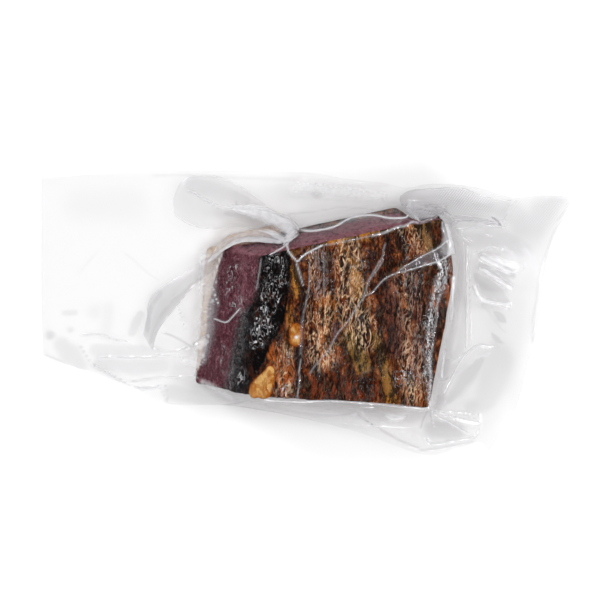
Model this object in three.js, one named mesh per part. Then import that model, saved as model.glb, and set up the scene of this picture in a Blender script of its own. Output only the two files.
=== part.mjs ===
// A vacuum pack of smoked ham, lying flat: a wedge-cut block of ham, drawn tight between two clear films.
// The pack is one closed body, from its upper film to its lower one. Seen from above it is a grid laid over
// the bag's outline. Each film is found on a raster of heights, as a stretched sheet that bridges from the
// block down to the welded margin, and the folds of spare film are raised on the upper one.
// Units are millimetres and +Z is up. +X points to the embossed, factory-sealed end and +Y away from the near
// long side. The origin is the middle of the pack's outline, on the surface that it lies on.

import * as THREE from "three";

// ---- Ham block ----
const HAM_HEIGHT = 45; // at the crown of the smoked top
const HAM_CROWN = [22, 0]; // where the top is highest
const HAM_FALL = 0.0011; // how fast the top falls away from its crown, per millimetre
const HAM_CORNERS = {
  nearLeft: [-30, -41.5],
  nearRight: [60, -48],
  right: [73, 21.5],
  farRight: [67, 49],
  farLeft: [-24, 29.5],
};
// Each side of the block runs between two corners of its top. Its foot stands out by `lean`.
const HAM_SIDES = [
  { from: "nearLeft", to: "nearRight", lean: -2 },
  { from: "nearRight", to: "right", lean: 1.5 },
  { from: "right", to: "farRight", lean: 2 },
  { from: "farRight", to: "farLeft", lean: 11 },
  { from: "farLeft", to: "nearLeft", lean: 31 },
];

// ---- Bag outline, seen from above, as drawn in by the block ----
const NEAR_EDGE = [
  [-139.5, -22.5],
  [-128, -27],
  [-93.5, -38.5],
  [-75, -47.5],
  [-38, -48.5],
  [-4.5, -54.5],
  [27, -62.5],
  [59.5, -73.5],
  [78, -69.5],
  [88.5, -67],
  [93, -72],
];
const FAR_EDGE = [
  [-140.5, 70.5],
  [-98, 73.5],
  [-66, 74],
  [-4, 73],
  [17, 70],
  [38, 67.5],
  [51, 65],
  [64, 67],
  [85, 65.5],
  [105.5, 60],
  [122, 61],
  [140.5, 60],
];
const LEFT_EDGE = [
  [-139.5, -22.5],
  [-140.5, 10],
  [-140.5, 70.5],
];
const RIGHT_EDGE = [
  [93, -72],
  [106.5, -52],
  [113, -29],
  [118.5, -9],
  [123, 22.5],
  [129, 43],
  [140.5, 60],
];

// ---- Margin, where the two films lie together ----
const MARGIN_THICKNESS = 1.2; // two films and the air and folds between them
// The margin's middle lies low at the left end and climbs to part of the block's height over the stretch `x`.
const CLIMB = { from: 1.1, to: 9.2, x: [-122, -30] };
// It stands higher still along the near side.
const NEAR_LIFT = { height: 3.2, x: [-70, 20], y: [-20, -66] };
// Slow waves run slantwise over the right end.
const WAVE = { height: 0.9, length: 47, slant: 0.4, x: [60, 115] };

// ---- How wide the film's bridge from the block to the margin is ----
const BRIDGE = { usual: 12.5, left: 17, right: 9.5, under: 9 };
const BRIDGE_LEFT_X = [-20, -70]; // where it widens to the left one
const BRIDGE_RIGHT_X = [50, 80]; // and narrows to the right one

// ---- Folds of spare film: a path, the half width at its start and end, and the height ----
const FOLDS = {
  farLeftEar: {
    path: [
      [-13, 42],
      [-19, 47],
      [-30, 53],
      [-48, 58],
      [-60, 59],
    ],
    halfWidth: [7, 15],
    height: [5, 5],
  },
  leftSail: {
    path: [
      [-30, 36],
      [-46, 31],
      [-62, 20],
      [-76, 7],
      [-81, -8],
      [-79, -19],
    ],
    halfWidth: [7, 8.5],
    height: [4, 5],
  },
  farRightFlap: {
    path: [
      [58, 57.5],
      [72, 58.5],
      [88, 56.5],
      [101, 52],
    ],
    halfWidth: [9, 6],
    height: [7, 3],
  },
  nearLeftFold: {
    path: [
      [-116, -17],
      [-100, -31],
      [-84, -38],
    ],
    halfWidth: [7, 6],
    height: [2.4, 2.4],
  },
  nearRightFold: {
    path: [
      [66, -54],
      [74, -61],
      [80, -66],
    ],
    halfWidth: [8, 7],
    height: [3.4, 2.4],
  },
  topCrease: {
    path: [
      [68, 46],
      [59, 25],
      [44, 20],
      [29, 9],
      [9, -19],
    ],
    halfWidth: [4.5, 3.5],
    height: [2, 1],
  },
};

// ---- Fineness ----
const RASTER_STEP = 1; // of the height rasters
const RASTER_REACH = { x: 150, y: 84 }; // half sizes, a little past the outline
const RELAX_PASSES = 900;
const STEEPEST = 1.5; // how far out the upper film takes to leave an upright side
const UNDER_STEP = 2; // the lower film takes every second line of the grid
// The grid runs past the block in three bands each way. Its lines crowd towards the block by a power.
const COLUMNS = [26, 26, 18]; // left of the block, over it, right of it
const ROWS = [12, 20, 14]; // near, over, far
const CROWDING = 1.5;
// Where the lines along the block's top edges meet the outline, as shares of each outline edge.
const MEETS = { near: [0.45, 0.84], far: [0.4, 0.76], left: [0.22, 0.68], right: [0.2, 0.8] };

const smooth = (low, high, value) => {
  const t = THREE.MathUtils.clamp((value - low) / (high - low), 0, 1);
  return t * t * (3 - 2 * t);
};

// How far a point lies outside the line through two corners of the top, negative inside.
function outside(side, x, y) {
  const [ax, ay] = HAM_CORNERS[side.from];
  const [bx, by] = HAM_CORNERS[side.to];
  const length = Math.hypot(bx - ax, by - ay);
  return ((x - ax) * (by - ay) - (y - ay) * (bx - ax)) / length;
}

// Height of the block over a point, 0 beside it. Each side slopes straight from the top to its foot.
function hamHeight(x, y) {
  const away = (x - HAM_CROWN[0]) ** 2 + (y - HAM_CROWN[1]) ** 2;
  const crown = HAM_HEIGHT - HAM_FALL * away;
  const heights = HAM_SIDES.map((side) => {
    const d = outside(side, x, y);
    return d <= 0 ? crown : crown * (1 - d / Math.max(side.lean, STEEPEST));
  });
  return Math.max(0, Math.min(...heights));
}

// Whether a point lies over the foot of the block.
const overFoot = (x, y) =>
  HAM_SIDES.every((side) => outside(side, x, y) <= side.lean);

// Height of the margin's middle.
function marginHeight(x, y) {
  const climbed = smooth(...CLIMB.x, x);
  const lifted = smooth(...NEAR_LIFT.y, y) * smooth(...NEAR_LIFT.x, x);
  const wave = Math.sin((2 * Math.PI * (y + WAVE.slant * x)) / WAVE.length);
  return (
    THREE.MathUtils.lerp(CLIMB.from, CLIMB.to, climbed) +
    NEAR_LIFT.height * lifted +
    WAVE.height * wave * smooth(...WAVE.x, x)
  );
}

// A raster of heights over the bag, filled from a function and read by bilinear interpolation.
class HeightRaster {
  constructor(height) {
    this.columns = Math.round((2 * RASTER_REACH.x) / RASTER_STEP) + 1;
    this.rows = Math.round((2 * RASTER_REACH.y) / RASTER_STEP) + 1;
    this.values = new Float64Array(this.columns * this.rows);
    this.each((x, y, k) => (this.values[k] = height(x, y)));
  }

  each(visit) {
    for (let row = 0; row < this.rows; row++)
      for (let column = 0; column < this.columns; column++)
        visit(
          column * RASTER_STEP - RASTER_REACH.x,
          row * RASTER_STEP - RASTER_REACH.y,
          row * this.columns + column,
        );
  }

  // Pulls the inner cells towards the mean of their neighbours less `sag`, and keeps them on their side of
  // `limit`. After many passes this is a sheet stretched over what it rests on.
  relax(sag, limit) {
    for (let pass = 0; pass < RELAX_PASSES; pass++)
      for (let row = 1; row < this.rows - 1; row++)
        for (let column = 1; column < this.columns - 1; column++) {
          const k = row * this.columns + column;
          const v = this.values;
          const mean =
            (v[k - 1] + v[k + 1] + v[k - this.columns] + v[k + this.columns]) /
            4;
          v[k] = limit(k, mean - sag[k]);
        }
  }

  at(x, y) {
    const place = (value, reach, count) => {
      const lines = (value + reach) / RASTER_STEP;
      const line = THREE.MathUtils.clamp(Math.floor(lines), 0, count - 2);
      return [line, THREE.MathUtils.clamp(lines - line, 0, 1)];
    };
    const [column, s] = place(x, RASTER_REACH.x, this.columns);
    const [row, t] = place(y, RASTER_REACH.y, this.rows);
    const k = row * this.columns + column;
    const { lerp } = THREE.MathUtils;
    const near = lerp(this.values[k], this.values[k + 1], s);
    const up = k + this.columns;
    const far = lerp(this.values[up], this.values[up + 1], s);
    return lerp(near, far, t);
  }
}

// A sheet that drops by `drop` across a bridge of width `width` curves by 2 drop / width^2. Each pass of the
// raster takes off a quarter of that, times the step squared.
const sagOf = (drop, width) =>
  ((2 * drop) / width ** 2) * (RASTER_STEP ** 2 / 4);

function upperFilm() {
  const rest = new HeightRaster((x, y) =>
    Math.max(hamHeight(x, y), marginHeight(x, y) + MARGIN_THICKNESS / 2),
  );
  const film = new HeightRaster((x, y) => rest.at(x, y));
  const sag = new Float64Array(film.values.length);
  film.each((x, y, k) => {
    const width =
      BRIDGE.usual +
      (BRIDGE.left - BRIDGE.usual) * smooth(...BRIDGE_LEFT_X, x) +
      (BRIDGE.right - BRIDGE.usual) * smooth(...BRIDGE_RIGHT_X, x);
    sag[k] = sagOf(HAM_HEIGHT - marginHeight(x, y), width);
  });
  film.relax(sag, (k, value) => Math.max(rest.values[k], value));
  return film;
}

function lowerFilm() {
  const rest = new HeightRaster((x, y) =>
    overFoot(x, y)
      ? 0
      : Math.max(0, marginHeight(x, y) - MARGIN_THICKNESS / 2),
  );
  const film = new HeightRaster((x, y) => rest.at(x, y));
  const sag = new Float64Array(film.values.length).fill(
    -sagOf(CLIMB.to, BRIDGE.under),
  );
  film.relax(sag, (k, value) =>
    Math.max(0, Math.min(rest.values[k], value)),
  );
  return film;
}

// How far a fold raises the upper film at a point: a ridge along its path, rounded at the top and its foot.
function foldHeight(fold, x, y) {
  const steps = fold.path.length - 1;
  let raised = 0;
  for (let i = 0; i < steps; i++) {
    const [ax, ay] = fold.path[i];
    const [bx, by] = fold.path[i + 1];
    const [dx, dy] = [bx - ax, by - ay];
    const t = THREE.MathUtils.clamp(
      ((x - ax) * dx + (y - ay) * dy) / (dx * dx + dy * dy),
      0,
      1,
    );
    const distance = Math.hypot(x - ax - t * dx, y - ay - t * dy);
    const along = (i + t) / steps;
    const halfWidth = THREE.MathUtils.lerp(...fold.halfWidth, along);
    const height = THREE.MathUtils.lerp(...fold.height, along);
    raised = Math.max(raised, height * smooth(halfWidth, 0, distance));
  }
  return raised;
}

const spline = (points) =>
  new THREE.SplineCurve(points.map((p) => new THREE.Vector2(...p)));

// The grid's lines that follow the bag's edges and the block's top edges, each in three stretches.
function gridLines() {
  const edges = {
    near: spline(NEAR_EDGE),
    far: spline(FAR_EDGE),
    left: spline(LEFT_EDGE),
    right: spline(RIGHT_EDGE),
  };
  const { nearLeft, nearRight, right, farRight, farLeft } = HAM_CORNERS;
  const along = (name) => {
    const cuts = [0, ...MEETS[name], 1];
    return [0, 1, 2].map(
      (k) => (t) =>
        edges[name].getPointAt(THREE.MathUtils.lerp(cuts[k], cuts[k + 1], t)),
    );
  };
  const straight = (a, b) => {
    const line = new THREE.LineCurve(a, b);
    return (t) => line.getPointAt(t);
  };
  const corner = (p) => new THREE.Vector2(...p);
  const bulge = spline([nearRight, right, farRight]);
  const rows = [along("near"), [], [], along("far")];
  const columns = [along("left"), [], [], along("right")];
  const inner = (cornerA, cornerB, lineA, lineB, middle) => [
    straight(lineA, corner(cornerA)),
    middle ?? straight(corner(cornerA), corner(cornerB)),
    straight(corner(cornerB), lineB),
  ];
  rows[1] = inner(nearLeft, nearRight, columns[0][1](0), columns[3][1](0));
  rows[2] = inner(farLeft, farRight, columns[0][2](0), columns[3][2](0));
  columns[1] = inner(nearLeft, farLeft, rows[0][1](0), rows[3][1](0));
  columns[2] = inner(nearRight, farRight, rows[0][2](0), rows[3][2](0), (t) =>
    bulge.getPointAt(t),
  );
  return { rows, columns };
}

// A place in a list of bands as [band, share of the band]. The outer bands crowd towards the middle one.
function bandOf(k, bands) {
  if (k < bands[0]) return [0, 1 - (1 - k / bands[0]) ** CROWDING];
  if (k <= bands[0] + bands[1]) return [1, (k - bands[0]) / bands[1]];
  return [2, ((k - bands[0] - bands[1]) / bands[2]) ** CROWDING];
}

// A point of the grid: the four lines round its cell blended across the cell.
function gridPoint({ rows, columns }, i, j) {
  const [a, s] = bandOf(i, COLUMNS);
  const [b, t] = bandOf(j, ROWS);
  const [near, far] = [rows[b][a], rows[b + 1][a]];
  const [left, right] = [columns[a][b], columns[a + 1][b]];
  const point = new THREE.Vector2();
  const add = (p, share) => point.addScaledVector(p, share);
  add(near(s), 1 - t);
  add(far(s), t);
  add(left(t), 1 - s);
  add(right(t), s);
  add(near(0), -(1 - s) * (1 - t));
  add(near(1), -s * (1 - t));
  add(far(0), -(1 - s) * t);
  add(far(1), -s * t);
  return [point.x, point.y];
}

// The closed body: the upper film on the full grid, the lower film on every second line of it, and a narrow
// wall round the rim. Between the rim and the coarser lower grid runs a band of triangles.
function packGeometry() {
  const upper = upperFilm();
  const lower = lowerFilm();
  const lines = gridLines();
  const [columns, rows] = [COLUMNS, ROWS].map((bands) =>
    bands.reduce((sum, count) => sum + count),
  );
  const positions = [];
  const triangles = [];
  const indices = new Map();

  const vertex = (side, i, j) => {
    const key = `${side} ${i} ${j}`;
    if (!indices.has(key)) {
      const [x, y] = gridPoint(lines, i, j);
      const folds = Object.values(FOLDS).map((fold) => foldHeight(fold, x, y));
      const z =
        side === "upper"
          ? Math.max(upper.at(x, y), hamHeight(x, y)) + Math.max(...folds)
          : lower.at(x, y);
      indices.set(key, positions.length / 3);
      positions.push(x, y, z);
    }
    return indices.get(key);
  };
  const quad = (a, b, c, d) => triangles.push(a, b, c, a, c, d);

  for (let i = 0; i < columns; i++)
    for (let j = 0; j < rows; j++)
      quad(
        vertex("upper", i, j),
        vertex("upper", i + 1, j),
        vertex("upper", i + 1, j + 1),
        vertex("upper", i, j + 1),
      );

  const step = UNDER_STEP;
  for (let i = step; i < columns - step; i += step)
    for (let j = step; j < rows - step; j += step)
      quad(
        vertex("lower", i, j),
        vertex("lower", i, j + step),
        vertex("lower", i + step, j + step),
        vertex("lower", i + step, j),
      );

  const rim = [];
  for (let i = 0; i < columns; i++) rim.push([i, 0]);
  for (let j = 0; j < rows; j++) rim.push([columns, j]);
  for (let i = columns; i > 0; i--) rim.push([i, rows]);
  for (let j = rows; j > 0; j--) rim.push([0, j]);
  const inward = (k, count) =>
    THREE.MathUtils.clamp(Math.round(k / step) * step, step, count - step);
  rim.forEach(([i, j], k) => {
    const [i2, j2] = rim[(k + 1) % rim.length];
    const [a, b] = [vertex("lower", i, j), vertex("lower", i2, j2)];
    const c = vertex("lower", inward(i, columns), inward(j, rows));
    const d = vertex("lower", inward(i2, columns), inward(j2, rows));
    triangles.push(a, c, b);
    if (c !== d) triangles.push(b, c, d);
    quad(a, b, vertex("upper", i2, j2), vertex("upper", i, j));
  });

  const geometry = new THREE.BufferGeometry();
  geometry.setAttribute(
    "position",
    new THREE.Float32BufferAttribute(positions, 3),
  );
  geometry.setIndex(triangles);
  geometry.computeBoundingBox();
  const { min, max } = geometry.boundingBox;
  geometry.translate(-(min.x + max.x) / 2, -(min.y + max.y) / 2, 0);
  geometry.computeVertexNormals();
  return geometry;
}

const film = new THREE.MeshStandardMaterial({
  color: 0xb9a7a2, // clear film over dark smoked ham
  roughness: 0.25,
  metalness: 0,
});
const pack = new THREE.Mesh(packGeometry(), film);
pack.name = "vacuum_pack";

const group = new THREE.Group();
group.add(pack);

export default group;
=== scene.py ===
"""The looks of a vacuum pack of smoked ham, lying flat and seen from straight above.

A wedge-cut block of smoked ham lies in a clear film bag. The bag is one closed sheet of film, drawn down over
the block by a stretched-sheet solver and creased along listed paths. Spare film that folds back over the bag
is made as thin flaps of its own, which gives those places their greyer look.

Sizes are in millimetres in the pack's own plan: +X to the embossed end, +Y away from the near long side
and +Z up. `Plan.place` moves them into the frame's metres.
"""

import logging
import math
from dataclasses import dataclass, field
from enum import Enum, IntEnum
from typing import Sequence

import bpy
import numpy as np
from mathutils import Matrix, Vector

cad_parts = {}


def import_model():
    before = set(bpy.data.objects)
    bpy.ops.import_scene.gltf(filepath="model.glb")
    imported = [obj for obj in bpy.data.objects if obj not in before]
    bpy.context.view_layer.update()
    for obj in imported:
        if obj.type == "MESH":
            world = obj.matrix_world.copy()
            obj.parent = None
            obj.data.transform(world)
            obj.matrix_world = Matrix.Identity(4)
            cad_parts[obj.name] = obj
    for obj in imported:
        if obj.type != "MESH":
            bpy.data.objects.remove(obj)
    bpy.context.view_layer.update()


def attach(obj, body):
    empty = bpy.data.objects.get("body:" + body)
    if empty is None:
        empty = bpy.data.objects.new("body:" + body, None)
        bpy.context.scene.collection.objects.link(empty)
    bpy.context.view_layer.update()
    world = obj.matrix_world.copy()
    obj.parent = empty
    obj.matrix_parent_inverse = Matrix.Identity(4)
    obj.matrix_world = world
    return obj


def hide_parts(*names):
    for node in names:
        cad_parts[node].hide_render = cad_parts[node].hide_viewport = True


Array = np.ndarray
Point = tuple[float, float]
Path = tuple[Point, ...]
Colour = tuple[int, int, int]
Socket = bpy.types.NodeSocket
Value = Socket | float

LOG = logging.getLogger("ham_pack")
MM = 0.001
BODY = "root"
NODE = "vacuum_pack"
NO_TRIANGLES = np.zeros((0, 3), int)


# ---------------------------------------------------------------------------
# Numbers
# ---------------------------------------------------------------------------


def smooth(low: float, high: float, value: Array) -> Array:
    """A smooth step: 0 at low and before, 1 at high and past it, by 3t^2 - 2t^3 between them."""
    t = np.clip((value - low) / (high - low), 0.0, 1.0)
    return t * t * (3 - 2 * t)


def spread(values: float | Sequence[float], share: Array) -> Array:
    """One value, or several spread evenly from share 0 to 1 and blended in between."""
    values = np.atleast_1d(values)
    return np.interp(share, np.linspace(0, 1, len(values)), values)


def corner_values(corner: Array, seed: int) -> Array:
    """A fixed random number for each corner of a lattice.

    The whole coordinates are mixed one after another into a 64-bit number by multiplying and shifting, and
    its top 53 bits are the result.

    Args:
        corner: Whole coordinates, one row for each corner.
        seed: Which set of numbers to draw.

    Returns:
        Numbers from -1 to 1.
    """
    primes = np.array([0x9E3779B97F4A7C15, 0xC2B2AE3D27D4EB4F, 0x165667B19E3779F9], np.uint64)
    mixed = np.full(len(corner), seed * 7919 + 17, np.uint64)
    for axis in range(corner.shape[1]):
        mixed = (mixed ^ (corner[:, axis].astype(np.uint64) * primes[axis])) * primes[2 - axis]
        mixed ^= mixed >> np.uint64(29)
    return (mixed >> np.uint64(11)).astype(float) / 2**52 - 1.0


def lattice_noise(points: Array, cell: Sequence[float], seed: int) -> Array:
    """Value noise: a random number at each lattice corner, blended smoothly across the cell.

    Args:
        points: Points, one row each.
        cell: Size of a lattice cell along each axis, so a long cell gives streaks.
        seed: Which noise to draw.

    Returns:
        Noise from -1 to 1 for each point.
    """
    scaled = points / np.asarray(cell, float)
    corner = np.floor(scaled)
    part = scaled - corner
    part = part * part * (3 - 2 * part)
    corner = corner.astype(np.int64)
    total = np.zeros(len(points))
    for offset in np.ndindex(*(2,) * points.shape[1]):
        weight = np.prod(np.where(np.array(offset, bool), part, 1 - part), axis=1)
        total += weight * corner_values(corner + np.array(offset), seed)
    return total


def fractal_noise(points: Array, cell: Sequence[float], seed: int, octaves: int = 3) -> Array:
    """Lattice noise summed over octaves, each of half the cell and half the strength of the last.

    Args:
        points: Points, one row each.
        cell: Size of the first octave's cells along each axis.
        seed: Which noise to draw.
        octaves: How many to sum.

    Returns:
        Noise from -1 to 1 for each point.
    """
    total = np.zeros(len(points))
    reach = 0.0
    for octave in range(octaves):
        share = 0.5**octave
        total += share * lattice_noise(points, np.asarray(cell, float) * share, seed + 31 * octave)
        reach += share
    return total / reach


def ridge_noise(points: Array, cell: Sequence[float], seed: int, octaves: int = 2) -> Array:
    """Thin ridges from 0 to 1, highest where fractal noise crosses nought."""
    return (1.0 - np.abs(fractal_noise(points, cell, seed, octaves))) ** 3


class Route:
    """A smooth curve through given points in plan: a Catmull-Rom spline, walked by its length."""

    def __init__(self, points: Sequence[Point], steps: int = 8) -> None:
        """Works the curve out as a fine polyline.

        Each span between two points is a cubic whose end slopes are half the difference of the points on
        either side.

        Args:
            points: The points that the curve passes through.
            steps: Straight pieces for each span.
        """
        p = np.array(points, float)
        p = np.vstack([p[:1], p, p[-1:]])
        t = np.linspace(0, 1, steps + 1)[:-1, None]
        spans = []
        for k in range(1, len(p) - 2):
            slope_a, slope_b = (p[k + 1] - p[k - 1]) / 2, (p[k + 2] - p[k]) / 2
            cubic = 2 * p[k] - 2 * p[k + 1] + slope_a + slope_b
            square = -3 * p[k] + 3 * p[k + 1] - 2 * slope_a - slope_b
            spans.append(cubic * t**3 + square * t**2 + slope_a * t + p[k])
        self.line = np.vstack([*spans, p[-2:-1]])
        steps_long = np.linalg.norm(np.diff(self.line, axis=0), axis=1)
        self.reach = np.concatenate([[0.0], np.cumsum(steps_long)])

    def at(self, share: Array) -> Array:
        """Points at shares of the curve's length, one row each."""
        along = np.asarray(share) * self.reach[-1]
        return np.stack([np.interp(along, self.reach, self.line[:, k]) for k in (0, 1)], axis=-1)

    def nearest(self, points: Array) -> tuple[Array, Array]:
        """Measures points against the curve.

        Each straight piece of the curve gives every point its nearest place on it, and the closest wins.

        Args:
            points: Points in plan, one row each.

        Returns:
            The distance of each point from the curve, positive on its left, and the share of the curve's
            length where it is nearest.
        """
        best = np.full(len(points), np.inf)
        share = np.zeros(len(points))
        side = np.ones(len(points))
        for k, (a, b) in enumerate(zip(self.line[:-1], self.line[1:])):
            run = b - a
            long = float(run @ run)
            if long == 0.0:
                continue
            away = points - a
            t = np.clip((away @ run) / long, 0, 1)
            distance = np.hypot(away[:, 0] - t * run[0], away[:, 1] - t * run[1])
            closer = distance < best
            best[closer] = distance[closer]
            share[closer] = (self.reach[k] + t[closer] * math.sqrt(long)) / self.reach[-1]
            turn = run[0] * away[:, 1] - run[1] * away[:, 0]
            side[closer] = np.where(turn[closer] < 0, -1.0, 1.0)
        return best * side, share


@dataclass
class HeightField:
    """Heights on a square raster over the pack, read by blending the four nearest."""

    step: float = 0.75
    reach: Point = (150.0, 84.0)
    values: Array = field(init=False)

    def __post_init__(self) -> None:
        """Starts with a flat field."""
        self.values = np.zeros(self.grid()[0].shape)

    @classmethod
    def holding(cls, values: Array) -> "HeightField":
        """A field of the given values."""
        made = cls()
        made.values = values
        return made

    def grid(self) -> tuple[Array, Array]:
        """The x and y of every cell."""
        x = np.arange(-self.reach[0], self.reach[0] + self.step, self.step)
        y = np.arange(-self.reach[1], self.reach[1] + self.step, self.step)
        return np.meshgrid(x, y)

    def at(self, x: Array, y: Array) -> Array:
        """Reads the field at any places by bilinear blending.

        Args:
            x: Places along X.
            y: Places along Y.

        Returns:
            Heights of the same shape.
        """
        rows, columns = self.values.shape
        just_inside = 1.001
        c = np.clip((x + self.reach[0]) / self.step, 0, columns - just_inside)
        r = np.clip((y + self.reach[1]) / self.step, 0, rows - just_inside)
        i, j = c.astype(int), r.astype(int)
        s, t = c - i, r - j
        v = self.values
        near = v[j, i] * (1 - s) + v[j, i + 1] * s
        far = v[j + 1, i] * (1 - s) + v[j + 1, i + 1] * s
        return near * (1 - t) + far * t

    def stretch(self, rest: Array, sag: Array, passes: int) -> None:
        """Lets a sheet settle down onto what it rests on.

        Each pass moves every cell to the mean of its four neighbours less its sag, but never below rest.

        Args:
            rest: What the sheet rests on, which is also where it starts.
            sag: How far each pass pulls a cell down.
            passes: How many passes to make.
        """
        v = rest.copy()
        for _ in range(passes):
            mean = (v[1:-1, :-2] + v[1:-1, 2:] + v[:-2, 1:-1] + v[2:, 1:-1]) / 4
            v[1:-1, 1:-1] = np.maximum(rest[1:-1, 1:-1], mean - sag[1:-1, 1:-1])
        self.values = v


# ---------------------------------------------------------------------------
# Meshes and node trees
# ---------------------------------------------------------------------------


def make_mesh(name: str, vertices: Array, quads: Array, triangles: Array) -> bpy.types.Object:
    """Puts arrays into a smooth-shaded mesh object at the origin.

    Args:
        name: The object's name.
        vertices: Points in metres, one row each.
        quads: Vertex numbers of the four-sided faces.
        triangles: Vertex numbers of the three-sided faces.

    Returns:
        The linked object.
    """
    mesh = bpy.data.meshes.new(name)
    corners = np.concatenate([quads.ravel(), triangles.ravel()]).astype(np.int32)
    starts = np.concatenate([np.arange(len(quads)) * 4, len(quads) * 4 + np.arange(len(triangles)) * 3])
    mesh.vertices.add(len(vertices))
    mesh.vertices.foreach_set("co", vertices.astype(np.float32).ravel())
    mesh.loops.add(len(corners))
    mesh.loops.foreach_set("vertex_index", corners)
    mesh.polygons.add(len(starts))
    mesh.polygons.foreach_set("loop_start", starts.astype(np.int32))
    mesh.update(calc_edges=True)
    mesh.polygons.foreach_set("use_smooth", np.ones(len(starts), bool))
    mesh.validate()
    piece = bpy.data.objects.new(name, mesh)
    bpy.context.scene.collection.objects.link(piece)
    return piece


def set_attributes(piece: bpy.types.Object, values: dict[str, Array]) -> None:
    """Stores one number for each vertex under each name, for the materials to read."""
    for name, numbers in values.items():
        layer = piece.data.attributes.new(name, "FLOAT", "POINT")
        layer.data.foreach_set("value", numbers.astype(np.float32))


def closed_sheet(top: Array, bottom: Array, step: int) -> tuple[Array, Array, Array, Array]:
    """Joins two grids of points over the same plan into one closed sheet.

    The top keeps every point. The bottom keeps its rim and, inside it, every `step`-th line each way. A
    wall of quads joins the two rims, and a band of triangles joins the bottom's rim to its inner points.

    Args:
        top: Points of the upper face, rows by columns by 3, with y growing by row and x by column.
        bottom: Points of the lower face, of the same shape.
        step: Which lines of the bottom are kept, a divisor of both counts of cells.

    Returns:
        Vertices, quads, triangles, and the flat grid number that each vertex came from.
    """
    rows, columns = top.shape[0] - 1, top.shape[1] - 1
    number = np.arange((rows + 1) * (columns + 1)).reshape(rows + 1, columns + 1)
    upper = np.stack([number[:-1, :-1], number[:-1, 1:], number[1:, 1:], number[1:, :-1]], -1)
    rim_row = np.concatenate(
        [np.zeros(columns), np.arange(rows), np.full(columns, rows), np.arange(rows, 0, -1)]
    ).astype(int)
    rim_column = np.concatenate(
        [np.arange(columns), np.full(rows, columns), np.arange(columns, 0, -1), np.zeros(rows)]
    ).astype(int)
    inner_rows = np.arange(step, rows - step + 1, step)
    inner_columns = np.arange(step, columns - step + 1, step)
    kept = np.zeros(number.shape, bool)
    kept[rim_row, rim_column] = True
    kept[np.ix_(inner_rows, inner_columns)] = True
    below = np.full(number.shape, -1)
    below[kept] = number.size + np.arange(kept.sum())
    inner = below[np.ix_(inner_rows, inner_columns)]
    lower = np.stack([inner[:-1, :-1], inner[1:, :-1], inner[1:, 1:], inner[:-1, 1:]], -1).reshape(-1, 4)
    a, b = below[rim_row, rim_column], np.roll(below[rim_row, rim_column], -1)
    up = number[rim_row, rim_column]
    wall = np.stack([a, b, np.roll(up, -1), up], -1)
    snapped_row = np.clip(np.round(rim_row / step).astype(int) * step, step, rows - step)
    snapped_column = np.clip(np.round(rim_column / step).astype(int) * step, step, columns - step)
    c = below[snapped_row, snapped_column]
    d = np.roll(c, -1)
    band = np.concatenate([np.stack([a, c, b], -1), np.stack([b, c, d], -1)[c != d]])
    vertices = np.concatenate([top.reshape(-1, 3), bottom.reshape(-1, 3)[kept.ravel()]])
    source = np.concatenate([np.arange(number.size), np.flatnonzero(kept.ravel())])
    return vertices, np.concatenate([upper.reshape(-1, 4), lower, wall]), band, source


def linear(colour: Colour) -> tuple[float, float, float, float]:
    """A screen colour of 0 to 255 as the linear colour that shaders take."""
    share = np.array(colour) / 255
    value = np.where(share <= 0.04045, share / 12.92, ((share + 0.055) / 1.055) ** 2.4)
    return (*(float(v) for v in value), 1.0)


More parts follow.
